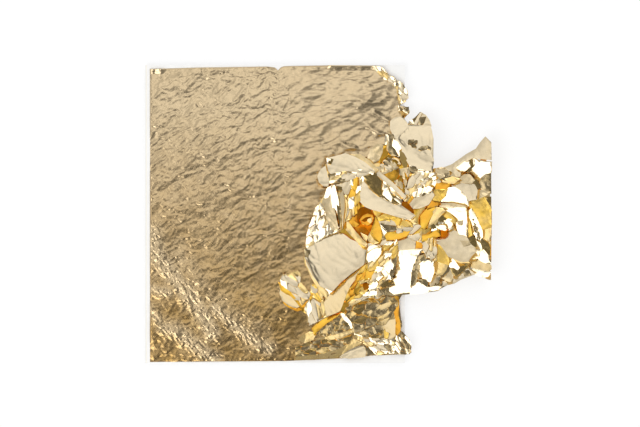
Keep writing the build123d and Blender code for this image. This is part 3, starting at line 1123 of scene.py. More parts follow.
    Fold("strap_orange", Tone.ORANGE, 0.9, (
        1036, 575, 1041, 548, 1060, 545, 1125, 552, 1105, 590, 1030, 592)),
    Fold("strap_gold", Tone.GOLD, 0.85, (1030, 590, 1105, 588, 1085, 635, 1050, 665, 1000, 665)),
    Fold("strap_foot", Tone.ORANGE, 0.7, (1003, 660, 1053, 668, 1051, 678, 981, 712, 990, 682)),
    Fold("throat", Tone.WHITE, 1.2, (
        1102, 589, 1122, 579, 1157, 579, 1203, 609, 1238, 659, 1243, 689, 1223, 710, 1193, 682,
        1092, 676, 1057, 676, 1077, 649)),
    Fold("throat_crease", Tone.TAN, 1.1, (
        1057, 676, 1142, 679, 1223, 697, 1217, 707, 1142, 703, 1064, 700)),
    Fold("throat_low", Tone.WHITE, 1.0, (
        1067, 702, 1142, 704, 1223, 707, 1223, 730, 1228, 780, 1233, 836, 1238, 896, 1193, 876,
        1177, 836, 1167, 780, 1132, 750, 1092, 725)),
    Fold("throat_streak", Tone.TAN, 1.4, (
        1177, 735, 1213, 712, 1213, 755, 1198, 815, 1182, 810, 1172, 770)),
    Fold("seam_gold", Tone.GOLD, 1.1, (
        1223, 750, 1243, 770, 1255, 830, 1265, 880, 1250, 890, 1240, 830)),
    Fold("seam_dark", Tone.DARK, 1.1, (1246, 882, 1265, 865, 1293, 921, 1293, 956, 1263, 946)),
    Fold("seam_white", Tone.WHITE, 1.0, (
        1243, 730, 1263, 710, 1280, 745, 1300, 790, 1330, 850, 1334, 891, 1323, 921, 1298, 926,
        1280, 870, 1262, 800)),
    Fold("seam_chain", Mix.SPECKLE, 1.5, (
        1268, 785, 1284, 772, 1298, 815, 1313, 871, 1318, 906, 1303, 911, 1290, 851), shard=16.0,
        grain_deg=70.0),
    Fold("flank", Tone.GOLD, 0.8, (
        1243, 664, 1283, 649, 1344, 629, 1364, 669, 1384, 699, 1394, 730, 1397, 820, 1350, 840,
        1329, 830, 1293, 760, 1268, 710), crinkle=0.02),
    Fold("flank_low", Tone.LEMON, 0.7, (1325, 825, 1397, 815, 1397, 881, 1380, 921, 1345, 895)),
    Fold("flank_edge", Tone.DARK, 0.5, (1364, 636, 1399, 636, 1399, 722, 1384, 699)),
    Fold("bowl_left", Tone.YELLOW, 0.4, (
        941, 760, 981, 714, 1006, 699, 1040, 706, 1000, 760, 960, 836, 941, 836)),
    Fold("bowl_right", Tone.LEMON, 0.5, (
        1000, 760, 1040, 706, 1075, 712, 1092, 725, 1067, 745, 1046, 770, 1036, 800, 1006, 825,
        966, 841)),
    Fold("bowl_band", Tone.GOLD, 0.9, (
        1041, 699, 1082, 716, 1122, 745, 1157, 785, 1162, 805, 1142, 795, 1107, 765, 1067, 740)),
    Fold("bowl_spot", Tone.DARK, 0.7, (1051, 765, 1092, 755, 1107, 770, 1072, 790, 1046, 790)),
    Fold("bowl_speck", Tone.DARK, 0.7, (996, 825, 1041, 800, 1046, 825, 1016, 836)),
    Fold("bowl_floor", Mix.SILVER, 0.2, (
        1046, 790, 1092, 778, 1110, 800, 1140, 836, 1112, 850, 1072, 841, 1041, 848, 1010, 850,
        1016, 836), shard=26.0),
    Fold("bowl_glint", Tone.WHITE, 0.9, (
        1092, 805, 1112, 780, 1132, 780, 1137, 815, 1117, 836, 1097, 830)),
    Fold("ribbon", Tone.YELLOW, 0.6, (
        941, 891, 996, 881, 1041, 851, 1060, 843, 1062, 884, 1016, 890, 971, 910, 941, 925)),
    Fold("ribbon_tip", Tone.AMBER, 0.7, (
        1055, 845, 1072, 841, 1107, 851, 1102, 871, 1082, 886, 1058, 886)),
    Fold("kite", Tone.BEIGE, 0.9, (
        1036, 921, 1112, 871, 1142, 851, 1167, 861, 1213, 886, 1238, 906, 1253, 941, 1283, 966,
        1289, 985, 1262, 1010, 1235, 1050, 1195, 1046, 1156, 1030, 1117, 1014, 1078, 965),
        crinkle=0.012),
    Fold("kite_shadow", Tone.TAN, 1.4, (
        1168, 922, 1240, 922, 1250, 938, 1203, 954, 1180, 962, 1164, 938)),
    Fold("kite_rim", Tone.LEMON, 0.6, (
        1078, 965, 1117, 1014, 1156, 1030, 1235, 1050, 1246, 1059, 1195, 1056, 1140, 1038,
        1100, 1014)),
    Fold("kite_patch", Tone.LEMON, 1.1, (1242, 1012, 1282, 1005, 1289, 1028, 1250, 1042)),
    Fold("kite_shade", Tone.DARK, 0.3, (
        1152, 1036, 1203, 1052, 1246, 1059, 1235, 1079, 1215, 1103, 1188, 1126, 1160, 1142,
        1144, 1126, 1137, 1099, 1168, 1099, 1184, 1095, 1172, 1063), crinkle=0.03),
    Fold("kite_mint", Tone.WHITE, 0.6, (
        1125, 1028, 1148, 1044, 1168, 1071, 1184, 1091, 1176, 1103, 1144, 1095, 1123, 1075)),
    Fold("kite_gold", Tone.GOLD, 0.7, (
        1039, 938, 1062, 954, 1090, 993, 1113, 1032, 1117, 1071, 1097, 1063, 1062, 1050,
        1039, 1044)),
    Fold("column", Mix.PALE, 0.5, (
        945, 929, 986, 905, 1022, 899, 1036, 923, 1039, 1044, 1016, 1052, 980, 1041, 975, 1005,
        951, 970), shard=26.0, grain_deg=85.0),
    Fold("hem_lemon", Tone.LEMON, 0.6, (
        1022, 1052, 1092, 1048, 1109, 1071, 1097, 1103, 1074, 1134, 1045, 1140, 1027, 1105)),
    Fold("hem_brown", Tone.BROWN, 0.5, (
        1097, 1103, 1121, 1083, 1125, 1105, 1090, 1134, 1074, 1146)),
    Fold("hem_tan", Tone.TAN, 0.4, (
        1090, 1140, 1125, 1105, 1135, 1107, 1144, 1150, 1129, 1181, 1101, 1170, 1080, 1160)),
    Fold("hem_white", Tone.WHITE, 0.5, (
        928, 1076, 969, 1041, 1016, 1052, 1018, 1117, 1000, 1180, 951, 1170, 922, 1164, 910, 1129)),
    Fold("hem_notch", Tone.BROWN, 0.4, (922, 1170, 985, 1172, 980, 1215, 951, 1188)),
    Fold("hem_fold", Tone.TAN, 0.35, (1022, 1140, 1063, 1150, 1050, 1188, 1004, 1217, 1000, 1185)),
    Fold("hem_eye", Tone.DARK, 0.9, (1033, 1195, 1063, 1193, 1055, 1211, 1036, 1213)),
    Fold("hem_strip", Tone.WHITE, 0.3, (
        869, 1246, 898, 1211, 922, 1188, 963, 1211, 990, 1225, 1040, 1215, 1070, 1215, 1050, 1236,
        940, 1252, 875, 1262)),
    Fold("tail_beige", Tone.CREAM, -0.3, (
        1133, 1181, 1156, 1150, 1195, 1122, 1223, 1091, 1250, 1056, 1266, 1052, 1258, 1083,
        1246, 1103, 1274, 1126, 1289, 1134, 1235, 1150, 1195, 1165, 1156, 1189, 1078, 1210,
        1085, 1185)),
    Fold("tail_spot", Tone.BROWN, 0.3, (1215, 1115, 1250, 1112, 1262, 1135, 1225, 1140)),
    Fold("tail_pale", Tone.PALE, 0.3, (
        1258, 1048, 1313, 1044, 1360, 1059, 1391, 1079, 1395, 1099, 1372, 1110, 1258, 1083)),
    Fold("tail_silver", Tone.SILVER, 0.3, (
        1252, 1088, 1372, 1108, 1390, 1122, 1372, 1146, 1352, 1150, 1313, 1138, 1274, 1122,
        1246, 1103), crinkle=0.03),
    Fold("tail_tip", Tone.BEIGE, 0.1, (
        1376, 1138, 1400, 1134, 1400, 1171, 1379, 1165, 1356, 1154)),
    Fold("tail_white", Tone.WHITE, 0.8, (
        1313, 977, 1344, 981, 1372, 1016, 1391, 1059, 1360, 1057, 1333, 1046, 1313, 1028)),
    Fold("tail_mint", Tone.SILVER, 0.7, (
        1289, 915, 1321, 938, 1329, 969, 1313, 993, 1305, 1028, 1289, 1036, 1285, 1005, 1293, 973,
        1282, 958)),
    Fold("tail_dark", Tone.DARK, 0.7, (
        1321, 915, 1336, 906, 1369, 926, 1384, 966, 1383, 1016, 1356, 993, 1336, 969, 1325, 938),
        crinkle=0.03),
    Fold("tail_gold", Tone.LEMON, 0.6, (1383, 900, 1399, 885, 1399, 1050, 1383, 1020)),
    Fold("sheet_white", Tone.WHITE, 0.9, (
        783, 988, 845, 979, 945, 970, 928, 999, 898, 1035, 892, 1082, 880, 1140, 869, 1211,
        869, 1248, 716, 1272, 704, 1234, 692, 1205, 751, 1170, 769, 1105, 775, 1046)),
    Fold("sheet_fold", Tone.BROWN, 1.0, (
        922, 1023, 975, 1005, 969, 1029, 928, 1076, 916, 1117, 898, 1199, 873, 1213, 884, 1129,
        896, 1076)),
    Fold("sheet_slit", Tone.BROWN, 1.0, (
        775, 999, 781, 1035, 763, 1117, 751, 1164, 741, 1129, 759, 1076, 767, 1035)),
    Fold("oval", Tone.WHITE, 1.1, (
        598, 1005, 634, 976, 681, 964, 675, 999, 634, 1052, 604, 1064, 595, 1035)),
    Fold("shard_white", Tone.WHITE, 0.8, (
        692, 1088, 745, 1035, 757, 1076, 739, 1129, 751, 1164, 716, 1170, 722, 1135, 704, 1111)),
    Fold("shard_slit", Tone.DARK, 0.9, (
        681, 1205, 716, 1184, 751, 1170, 755, 1180, 739, 1192, 692, 1215)),
    Fold("strands", Mix.GOLD, 0.4, (
        675, 970, 716, 946, 786, 935, 783, 988, 769, 1023, 710, 1058, 657, 1088, 634, 1152,
        592, 1176, 551, 1193, 540, 1176, 587, 1117, 587, 1076, 616, 1058, 657, 1029), shard=30.0,
        grain_deg=-50.0),
    Fold("strands_silver", Mix.SILVER, 0.5, (
        657, 1088, 692, 1088, 722, 1135, 716, 1170, 681, 1205, 669, 1223, 610, 1235, 592, 1211,
        598, 1176, 634, 1140), shard=26.0, grain_deg=-40.0),
    Fold("flower", Mix.FIRE, 0.4, (
        448, 1296, 483, 1226, 513, 1196, 530, 1143, 560, 1084, 590, 1073, 587, 1117, 545, 1176,
        551, 1193, 592, 1193, 598, 1223, 569, 1258, 542, 1282, 501, 1290, 460, 1314), shard=32.0,
        grain_deg=-50.0),
    Fold("flower_heart", Tone.EMBER, 1.0, (566, 1200, 592, 1195, 598, 1222, 575, 1232)),
    Fold("knee", Tone.UMBER, 0.3, (
        413, 1367, 407, 1343, 448, 1308, 478, 1320, 460, 1355, 436, 1380)),
    Fold("foot_band", Mix.PALE, 0.1, (
        448, 1357, 483, 1308, 530, 1284, 575, 1252, 663, 1235, 704, 1268, 651, 1290, 597, 1280,
        542, 1308, 501, 1331, 472, 1367), shard=28.0, grain_deg=-25.0),
    Fold("foot_brown", Tone.BROWN, 0.6, (669, 1223, 692, 1213, 710, 1246, 710, 1266, 681, 1248)),
    Fold("foot_tan", Tone.TAN, 0.5, (633, 1258, 669, 1228, 700, 1262, 663, 1276)),
    Fold("bridge_top", Tone.BEIGE, 0.6, (
        669, 788, 714, 776, 764, 799, 775, 817, 719, 807, 675, 802)),
    Fold("bridge_brown", Tone.BROWN, 0.6, (
        684, 804, 719, 808, 775, 818, 781, 844, 764, 849, 719, 855, 691, 830)),
    Fold("bridge_white", Tone.WHITE, 0.7, (
        675, 812, 690, 835, 715, 858, 700, 880, 688, 860, 680, 830)),
    Fold("bridge_yellow", Tone.YELLOW, 0.9, (
        644, 766, 662, 800, 673, 835, 680, 895, 669, 925, 640, 905, 616, 870, 635, 812)),
    Fold("bridge_lemon", Tone.LEMON, 0.8, (
        616, 860, 640, 905, 665, 925, 640, 932, 605, 917, 600, 895)),
    Fold("bridge_slit", Tone.OLIVE, 1.3, (625, 872, 650, 880, 665, 915, 655, 918, 636, 900)),
    Fold("bridge_orange", Tone.YELLOW, 0.5, (
        714, 888, 742, 866, 787, 869, 843, 855, 876, 844, 843, 883, 798, 900, 753, 905, 719, 911)),
    Fold("bridge_gold", Mix.GOLD, 0.3, (
        876, 844, 905, 800, 941, 830, 941, 925, 932, 922, 880, 905, 843, 883), shard=34.0,
        grain_deg=-30.0),
    Fold("bridge_beige", Tone.BEIGE, 0.6, (
        792, 925, 831, 905, 876, 905, 900, 925, 895, 967, 798, 975)),
    Fold("bridge_glow", Tone.ORANGE, 0.55, (
        876, 905, 932, 922, 945, 950, 945, 962, 895, 968, 898, 930)),
    Fold("bridge_left", Mix.PALE, 0.3, (
        602, 940, 640, 930, 669, 925, 690, 890, 714, 888, 719, 911, 753, 905, 786, 905, 786, 935,
        716, 946, 675, 968, 634, 976, 598, 1003), shard=34.0, grain_deg=-30.0),
    Fold("sail_hem", Mix.GOLD, 0.3, (
        619, 712, 719, 740, 798, 763, 865, 780, 900, 775, 905, 800, 876, 844, 787, 866, 781, 844,
        764, 799, 714, 776, 669, 786, 655, 760), shard=40.0, grain_deg=10.0),
)

CRUMPLE_WARM_SPOTS = (
    WarmSpot((575, 810), 110.0, 1.0),
    WarmSpot((760, 500), 80.0, 0.7),
    WarmSpot((690, 350), 50.0, 0.6),
    WarmSpot((860, 705), 50.0, 1.0),
    WarmSpot((650, 900), 60.0, 0.6),
    WarmSpot((810, 880), 80.0, 0.7),
    WarmSpot((980, 790), 80.0, 0.5),
    WarmSpot((1060, 880), 50.0, 0.8),
    WarmSpot((1050, 600), 70.0, 0.65),
    WarmSpot((1330, 740), 80.0, 0.45),
    WarmSpot((530, 1220), 80.0, 0.8),
    WarmSpot((450, 1340), 50.0, 0.6),
    WarmSpot((200, 1330), 60.0, 0.5),
)

CORNER_FOLDS = (
    Fold("flap_bed", Tone.OLIVE, -0.8, (
        540, 440, 720, 300, 930, 225, 1060, 245, 1270, 235, 1330, 300, 1330, 700, 1290, 790,
        1150, 800, 1040, 780, 740, 710, 640, 690, 480, 730, 330, 745, 420, 560), crinkle=0.06,
        bed=True),
    Fold("flap", Mix.BARK, 0.4, (
        586, 428, 635, 379, 734, 281, 848, 224, 946, 215, 1061, 265, 1110, 297, 1175, 232,
        1274, 224, 1306, 281, 1290, 379, 1224, 494, 1159, 592, 1110, 723, 1077, 772, 914, 772,
        783, 723, 717, 674, 750, 625, 652, 494), shard=88.0, grain_deg=-25.0),
    Fold("flap_knob", Tone.ORANGE, 0.9, (
        521, 379, 619, 297, 652, 281, 619, 379, 554, 428, 529, 412)),
    Fold("flap_brim", Tone.PALE, 0.6, (
        619, 379, 635, 297, 717, 248, 848, 224, 734, 281, 635, 379, 600, 410)),
    Fold("flap_rim", Tone.ORANGE, 0.8, (
        1290, 215, 1331, 232, 1339, 314, 1323, 477, 1347, 559, 1356, 674, 1323, 739, 1306, 723,
        1314, 559, 1290, 396, 1314, 314)),
    Fold("flap_rim_dark", Tone.OLIVE, 0.4, (1339, 510, 1372, 559, 1376, 625, 1347, 700)),
    Fold("flap_face", Tone.BUTTER, 0.6, (
        1290, 412, 1314, 559, 1306, 723, 1241, 788, 1208, 788, 1224, 706, 1180, 690, 1159, 608,
        1224, 510)),
    Fold("flap_glow", Tone.GOLD, 0.8, (1150, 700, 1180, 668, 1224, 674, 1228, 788, 1165, 790)),
    Fold("flap_crackle", Mix.BARK, 0.2, (
        226, 723, 325, 641, 504, 510, 554, 461, 652, 575, 701, 641, 635, 674, 554, 706, 341, 755),
        shard=44.0, grain_deg=-35.0),
    Fold("flap_line", Tone.WHITE, 0.8, (
        554, 461, 586, 461, 684, 575, 711, 655, 684, 645, 619, 543)),
    Fold("flap_band", Tone.YELLOW, 0.3, (
        177, 657, 259, 575, 423, 494, 537, 448, 545, 470, 357, 575, 243, 674, 194, 739)),
    Fold("flap_wedge", Tone.LEMON, 0.5, (
        194, 854, 226, 821, 390, 756, 586, 723, 717, 674, 722, 700, 554, 772, 357, 808)),
    Fold("flap_wrinkle", Tone.PALE, 1.1, (704, 692, 760, 650, 850, 612, 852, 628, 770, 676)),
    Fold("flap_crease", Tone.PALE, 1.1, (979, 641, 995, 645, 1030, 715, 1015, 722)),
)

FOOT_FOLDS = (
    Fold("foot_olive", Mix.BARK, 0.4, (
        -60, 920, 95, 854, 259, 821, 586, 772, 701, 739, 717, 805, 652, 870, 554, 919, 259, 1001,
        -60, 1034), shard=60.0, grain_deg=-15.0),
    Fold("foot_pale", Tone.LEMON, 0.5, (
        -60, 1052, 177, 1013, 554, 908, 648, 856, 722, 800, 848, 854, 652, 952, 554, 1017,
        488, 1060, 177, 1080, -60, 1085), crinkle=0.02),
    Fold("foot_beige", Tone.BEIGE, 0.5, (
        537, 1052, 652, 952, 799, 903, 870, 900, 905, 960, 880, 1040, 668, 1062), crinkle=0.03),
    Fold("foot_brown", Tone.BROWN, 0.6, (860, 890, 946, 919, 995, 1001, 914, 1032, 905, 960)),
    Fold("foot_white", Mix.SILVER, 0.6, (
        734, 690, 783, 680, 914, 780, 1077, 800, 1241, 800, 1300, 790, 1262, 880, 1182, 990,
        1042, 1018, 1002, 984, 914, 886, 832, 837, 750, 780), shard=56.0, grain_deg=30.0),
    Fold("foot_lump", Mix.SPECKLE, 0.8, (
        1182, 992, 1241, 886, 1300, 800, 1320, 742, 1382, 704, 1472, 802, 1510, 872, 1482, 922,
        1518, 980, 1432, 1008), shard=44.0, grain_deg=60.0),
    Fold("foot_glow", Tone.LEMON, 0.4, (-20, 821, 14, 772, 128, 706, 226, 723, 177, 805, 63, 854)),
)

SCALLOP_FOLDS = (
    Fold("scallop_head", Mix.SILVER, 0.3, (
        374, 66.2, 382, 68, 389, 75.5, 396, 79.5, 392, 83, 384, 79, 378, 73), shard=3.6,
        grain_deg=45.0),
    Fold("scallop_side", Mix.SILVER, 0.4, (
        396, 80.5, 402, 83.5, 405.5, 89, 408, 97, 405, 102, 400, 104.5, 398, 99, 399, 91, 393, 85),
        shard=3.6, grain_deg=80.0),
    Fold("scallop_curl", Mix.SPECKLE, 0.5, (
        398, 106, 402, 109, 408.5, 107, 409, 113, 404, 118, 399, 113), shard=3.2, grain_deg=60.0),
)


# Materials


class NodeSheet:
    """A node tree with short ways to add and join nodes."""

    def __init__(self, tree: bpy.types.NodeTree) -> None:
        """Keeps the tree."""
        self.tree = tree

    def add(self, kind: str, **settings: object) -> bpy.types.Node:
        """Adds a node.

        Args:
            kind: Blender's name of the node type.
            settings: properties to set on it.

        Returns:
            The new node.
        """
        node = self.tree.nodes.new(kind)
        for key, value in settings.items():
            setattr(node, key, value)
        return node

    def feed(self, socket: Socket, value: object) -> None:
        """Links or sets an input.

        Args:
            socket: the input.
            value: a socket to link it to, or a plain value.
        """
        if isinstance(value, Socket):
            self.tree.links.new(value, socket)
        else:
            socket.default_value = value

    def fill(self, node: bpy.types.Node, values: dict[str | int, object]) -> bpy.types.Node:
        """Links or sets several inputs of a node.

        Args:
            node: the node.
            values: sockets or plain values, by the names or numbers of the inputs.

        Returns:
            The node.
        """
        for key, value in values.items():
            self.feed(node.inputs[key], value)
        return node

    def math(self, operation: str, *values: object) -> Socket:
        """Result of a Math node that gets numbers or sockets, in order."""
        node = self.add("ShaderNodeMath", operation=operation)
        return self.fill(node, dict(enumerate(values))).outputs[0]

    def vector(self, operation: str, *values: object) -> Socket:
        """Vector result of a Vector Math node."""
        node = self.add("ShaderNodeVectorMath", operation=operation)
        keys = (0, "Scale") if operation == "SCALE" else (0, 1)
        return self.fill(node, dict(zip(keys, values))).outputs[0]

    def dot(self, first: object, second: object) -> Socket:
        """Dot product of two vectors."""
        node = self.add("ShaderNodeVectorMath", operation="DOT_PRODUCT")
        return self.fill(node, {0: first, 1: second}).outputs["Value"]

    def mix(self, share: object, first: object, second: object) -> Socket:
        """Mixes two colours, with a share of 0 for the first."""
        node = self.add("ShaderNodeMix", data_type="RGBA")
        return self.fill(node, {"Factor": share, 6: first, 7: second}).outputs[2]

    def blend(self, share: object, first: object, second: object) -> Socket:
        """Mixes two numbers, with a share of 0 for the first."""
        node = self.add("ShaderNodeMix", data_type="FLOAT")
        return self.fill(node, {"Factor": share, 2: first, 3: second}).outputs[0]

    def step(self, value: Socket, start_deg: float, stop_deg: float) -> Socket:
        """Smooth step from 0 to 1 while a cosine goes from that of one angle to another's.

        Args:
            value: the cosine.
            start_deg: angle at which the step is 0.
            stop_deg: angle at which it is 1.

        Returns:
            The step.
        """
        node = self.add("ShaderNodeMapRange", interpolation_type="SMOOTHSTEP")
        start, stop = math.cos(math.radians(start_deg)), math.cos(math.radians(stop_deg))
        self.fill(node, {"Value": value, "From Min": start, "From Max": stop})
        return node.outputs["Result"]

    def noise(self, place: Socket, size: float, detail: float) -> Socket:
        """Noise from 0 to 1 whose marks are about size metres across."""
        node = self.add("ShaderNodeTexNoise", noise_dimensions="3D")
        return self.fill(node, {"Vector": place, "Scale": 1.0 / size, "Detail": detail}).outputs[0]

    def seen(self) -> Socket:
        """1 for rays from the camera, mirrored ones and ones that pass through, else 0."""
        path = self.add("ShaderNodeLightPath")
        seen = self.math("MAXIMUM", path.outputs["Is Camera Ray"], path.outputs["Is Glossy Ray"])
        return self.math("MAXIMUM", seen, path.outputs["Is Transmission Ray"])


def new_material(name: str) -> tuple[bpy.types.Material, NodeSheet, bpy.types.Node]:
    """Makes a material.

    Args:
        name: its name.

    Returns:
        The material, its node sheet and its Principled shader.
    """
    made = bpy.data.materials.new(name)
    made.use_nodes = True
    return made, NodeSheet(made.node_tree), made.node_tree.nodes["Principled BSDF"]


def colour(red: float, green: float, blue: float) -> Colour:
    """A linear colour with full alpha."""
    return (red, green, blue, 1.0)


@dataclass(frozen=True)
class FoilMarks:
    """Sizes and strengths of the marks that every foil's material draws."""

    blotch: float = 5.0 * MM
    blotch_detail: float = 3.0
    blotch_swing: float = 0.6
    blotch_base: float = 0.12
    haze: float = 1.7 * MM
    haze_detail: float = 2.0
    haze_swing: float = 0.10
    small_flats: float = 2.2
    small_share: float = 0.5
    dent: float = 3.2 * MM
    dent_detail: float = 2.5
    dent_depth: float = 0.25 * MM


def foil_group(marks: FoilMarks) -> bpy.types.ShaderNodeTree:
    """Node group of gold foil: its colour deepened by painted light and shade, its uneven gloss and
    its crushed surface.

    Args:
        marks: sizes and strengths of the marks.

    Returns:
        The group, with inputs for the three golds, the gloss and the strength of the marks.
    """
    tree = bpy.data.node_groups.new("foil_surface", "ShaderNodeTree")
    for way, kind, keys in (
        ("INPUT", "Color", ("Pale", "Gold", "Amber")),
        ("INPUT", "Float", ("Polish", "Crush", "Grain", "Dent")),
        ("OUTPUT", "Color", ("Color",)),
        ("OUTPUT", "Float", ("Roughness",)),
        ("OUTPUT", "Vector", ("Normal",)),
    ):
        for key in keys:
            tree.interface.new_socket(key, in_out=way, socket_type=f"NodeSocket{kind}")
    sheet = NodeSheet(tree)
    inside = sheet.add("NodeGroupInput").outputs
    outside = sheet.add("NodeGroupOutput")
    place = sheet.add("ShaderNodeTexCoord").outputs["Object"]
    # The mesh's painted light and shade turns the pale gold to gold and then to amber.
    painted_light_and_shade = sheet.add("ShaderNodeAttribute", attribute_name="painted_light_and_shade").outputs["Fac"]
    crush = sheet.add("ShaderNodeAttribute", attribute_name="crush").outputs["Fac"]

    blotch = sheet.noise(place, marks.blotch, marks.blotch_detail)
    uneven = sheet.math("MULTIPLY_ADD", blotch, marks.blotch_swing, -marks.blotch_swing / 2.0)
    reach = sheet.math("ADD", painted_light_and_shade, marks.blotch_base)
    depth = sheet.math("ADD", painted_light_and_shade, sheet.math("MULTIPLY", uneven, reach))
    lower = sheet.math("MAXIMUM", sheet.math("MULTIPLY", depth, 2.0), 0.0)
    upper = sheet.math("MAXIMUM", sheet.math("MULTIPLY_ADD", depth, 2.0, -1.0), 0.0)
    tint = sheet.mix(sheet.math("MINIMUM", lower, 1.0), inside["Pale"], inside["Gold"])

    haze = sheet.noise(place, marks.haze, marks.haze_detail)
    gloss = sheet.math("MULTIPLY_ADD", haze, marks.haze_swing, -marks.haze_swing / 2.0)

    def flats(times: float) -> Socket:
        """Random direction of each small flat of crushed foil."""
        scale = sheet.math("DIVIDE", times, inside["Grain"])
        node = sheet.add("ShaderNodeTexVoronoi", feature="F1")
        cells = sheet.fill(node, {"Vector": place, "Scale": scale}).outputs["Color"]
        return sheet.vector("SUBTRACT", cells, (0.5, 0.5, 0.5))

    small = sheet.vector("SCALE", flats(marks.small_flats), marks.small_share)
    strength = sheet.math("MULTIPLY", crush, inside["Crush"])
    tilt = sheet.vector("SCALE", sheet.vector("ADD", flats(1.0), small), strength)
    normal = sheet.add("ShaderNodeNewGeometry").outputs["Normal"]
    bump = sheet.fill(sheet.add("ShaderNodeBump"), {
        "Distance": marks.dent_depth,
        "Strength": inside["Dent"],
        "Height": sheet.noise(place, marks.dent, marks.dent_detail),
        "Normal": sheet.vector("NORMALIZE", sheet.vector("ADD", normal, tilt)),
    })
    sheet.fill(outside, {
        "Color": sheet.mix(upper, tint, inside["Amber"]),
        "Roughness": sheet.math("ADD", inside["Polish"], gloss),
        "Normal": bump.outputs[0],
    })
    return tree


@dataclass(frozen=True)
class FoilFinish:
    """Colours and gloss of one gold foil."""

    name: str
    # pale is the foil's own colour; gold and amber are the deeper colours of painted light and
    # shade
    pale: Colour
    gold: Colour
    amber: Colour
    polish: float
    crush: float
    grain: float
    dent: float

    def material(self, group: bpy.types.ShaderNodeTree) -> bpy.types.Material:
        """Makes the foil's material.

        Args:
            group: the shared foil surface.

        Returns:
            A metallic material with colour, roughness and normal from the group.
        """
        made, sheet, shader = new_material(self.name)
        surface = sheet.fill(sheet.add("ShaderNodeGroup", node_tree=group), {
            "Pale": self.pale, "Gold": self.gold, "Amber": self.amber, "Polish": self.polish,
            "Crush": self.crush, "Grain": self.grain, "Dent": self.dent,
        }).outputs
        sheet.fill(shader, {
            "Metallic": 1.0, "Base Color": surface["Color"], "Roughness": surface["Roughness"],
            "Normal": surface["Normal"],
        })
        return made


# Its amber is painted bounce light: the deep orange of light trapped in the folds of the crumple.
CRUMPLED_FOIL = FoilFinish(
    "crumpled_foil", pale=colour(0.81, 0.68, 0.465), gold=colour(0.96, 0.60, 0.08),
    amber=colour(0.74, 0.205, 0.005), polish=0.17, crush=0.4, grain=2.6 * MM, dent=0.12)
# Its gold is painted shade: the darker colour that the open leaf reaches towards its foot.
FLAT_FOIL = FoilFinish(
    "flat_foil", pale=colour(0.74, 0.58, 0.36), gold=colour(0.50, 0.315, 0.11),
    amber=colour(0.60, 0.30, 0.05), polish=0.23, crush=0.5, grain=0.8 * MM, dent=0.1)
PRESSED_FOIL = FoilFinish(
    "pressed_foil", pale=colour(0.80, 0.64, 0.39), gold=colour(0.62, 0.40, 0.14),
    amber=colour(0.60, 0.30, 0.05), polish=0.36, crush=0.5, grain=0.8 * MM, dent=0.5)


@dataclass(frozen=True)
class PaperFinish:
    """Colour and grain of one paper."""

    name: str
    light: Colour
    dark: Colour
    fibre: float
    roughness: float
    bump: float
    cloud: float = 9.0
    cloud_detail: float = 4.0
    fibre_detail: float = 3.0
    rough_swing: float = 0.16
    fibre_depth: float = 0.05 * MM

    def material(self) -> bpy.types.Material:
        """Makes the paper's material.

        Returns:
            A matt material with mottled colour, uneven roughness and a fibre bump.
        """
        made, sheet, shader = new_material(self.name)
        place = sheet.add("ShaderNodeTexCoord").outputs["Object"]
        cloud = sheet.noise(place, self.fibre * self.cloud, self.cloud_detail)
        fibre = sheet.noise(place, self.fibre, self.fibre_detail)
        least = self.roughness - self.rough_swing / 2.0
        bump = sheet.fill(sheet.add("ShaderNodeBump"), {
            "Strength": self.bump, "Distance": self.fibre_depth, "Height": fibre})
        sheet.fill(shader, {
            "Base Color": sheet.mix(cloud, self.light, self.dark),
            "Roughness": sheet.math("MULTIPLY_ADD", fibre, self.rough_swing, least),
            "Normal": bump.outputs[0],
        })
        return made


TISSUE = PaperFinish(
    "tissue_paper", light=colour(0.86, 0.855, 0.84), dark=colour(0.79, 0.785, 0.77),
    fibre=0.4 * MM, roughness=0.8, bump=0.5)
CARD = PaperFinish(
    "cover_card", light=colour(0.85, 0.84, 0.815), dark=colour(0.77, 0.755, 0.725),
    fibre=0.7 * MM, roughness=0.72, bump=0.4)
GLUE = PaperFinish(
    "spine_glue", light=colour(0.88, 0.85, 0.76), dark=colour(0.78, 0.74, 0.62),
    fibre=0.9 * MM, roughness=0.4, bump=0.3)


# The open leaf


@dataclass(frozen=True)
class Streak:
    """A long soft fold of the open leaf: its line, right and down by turns, and its size."""

    path: tuple[float, ...]
    width: float
    height: float


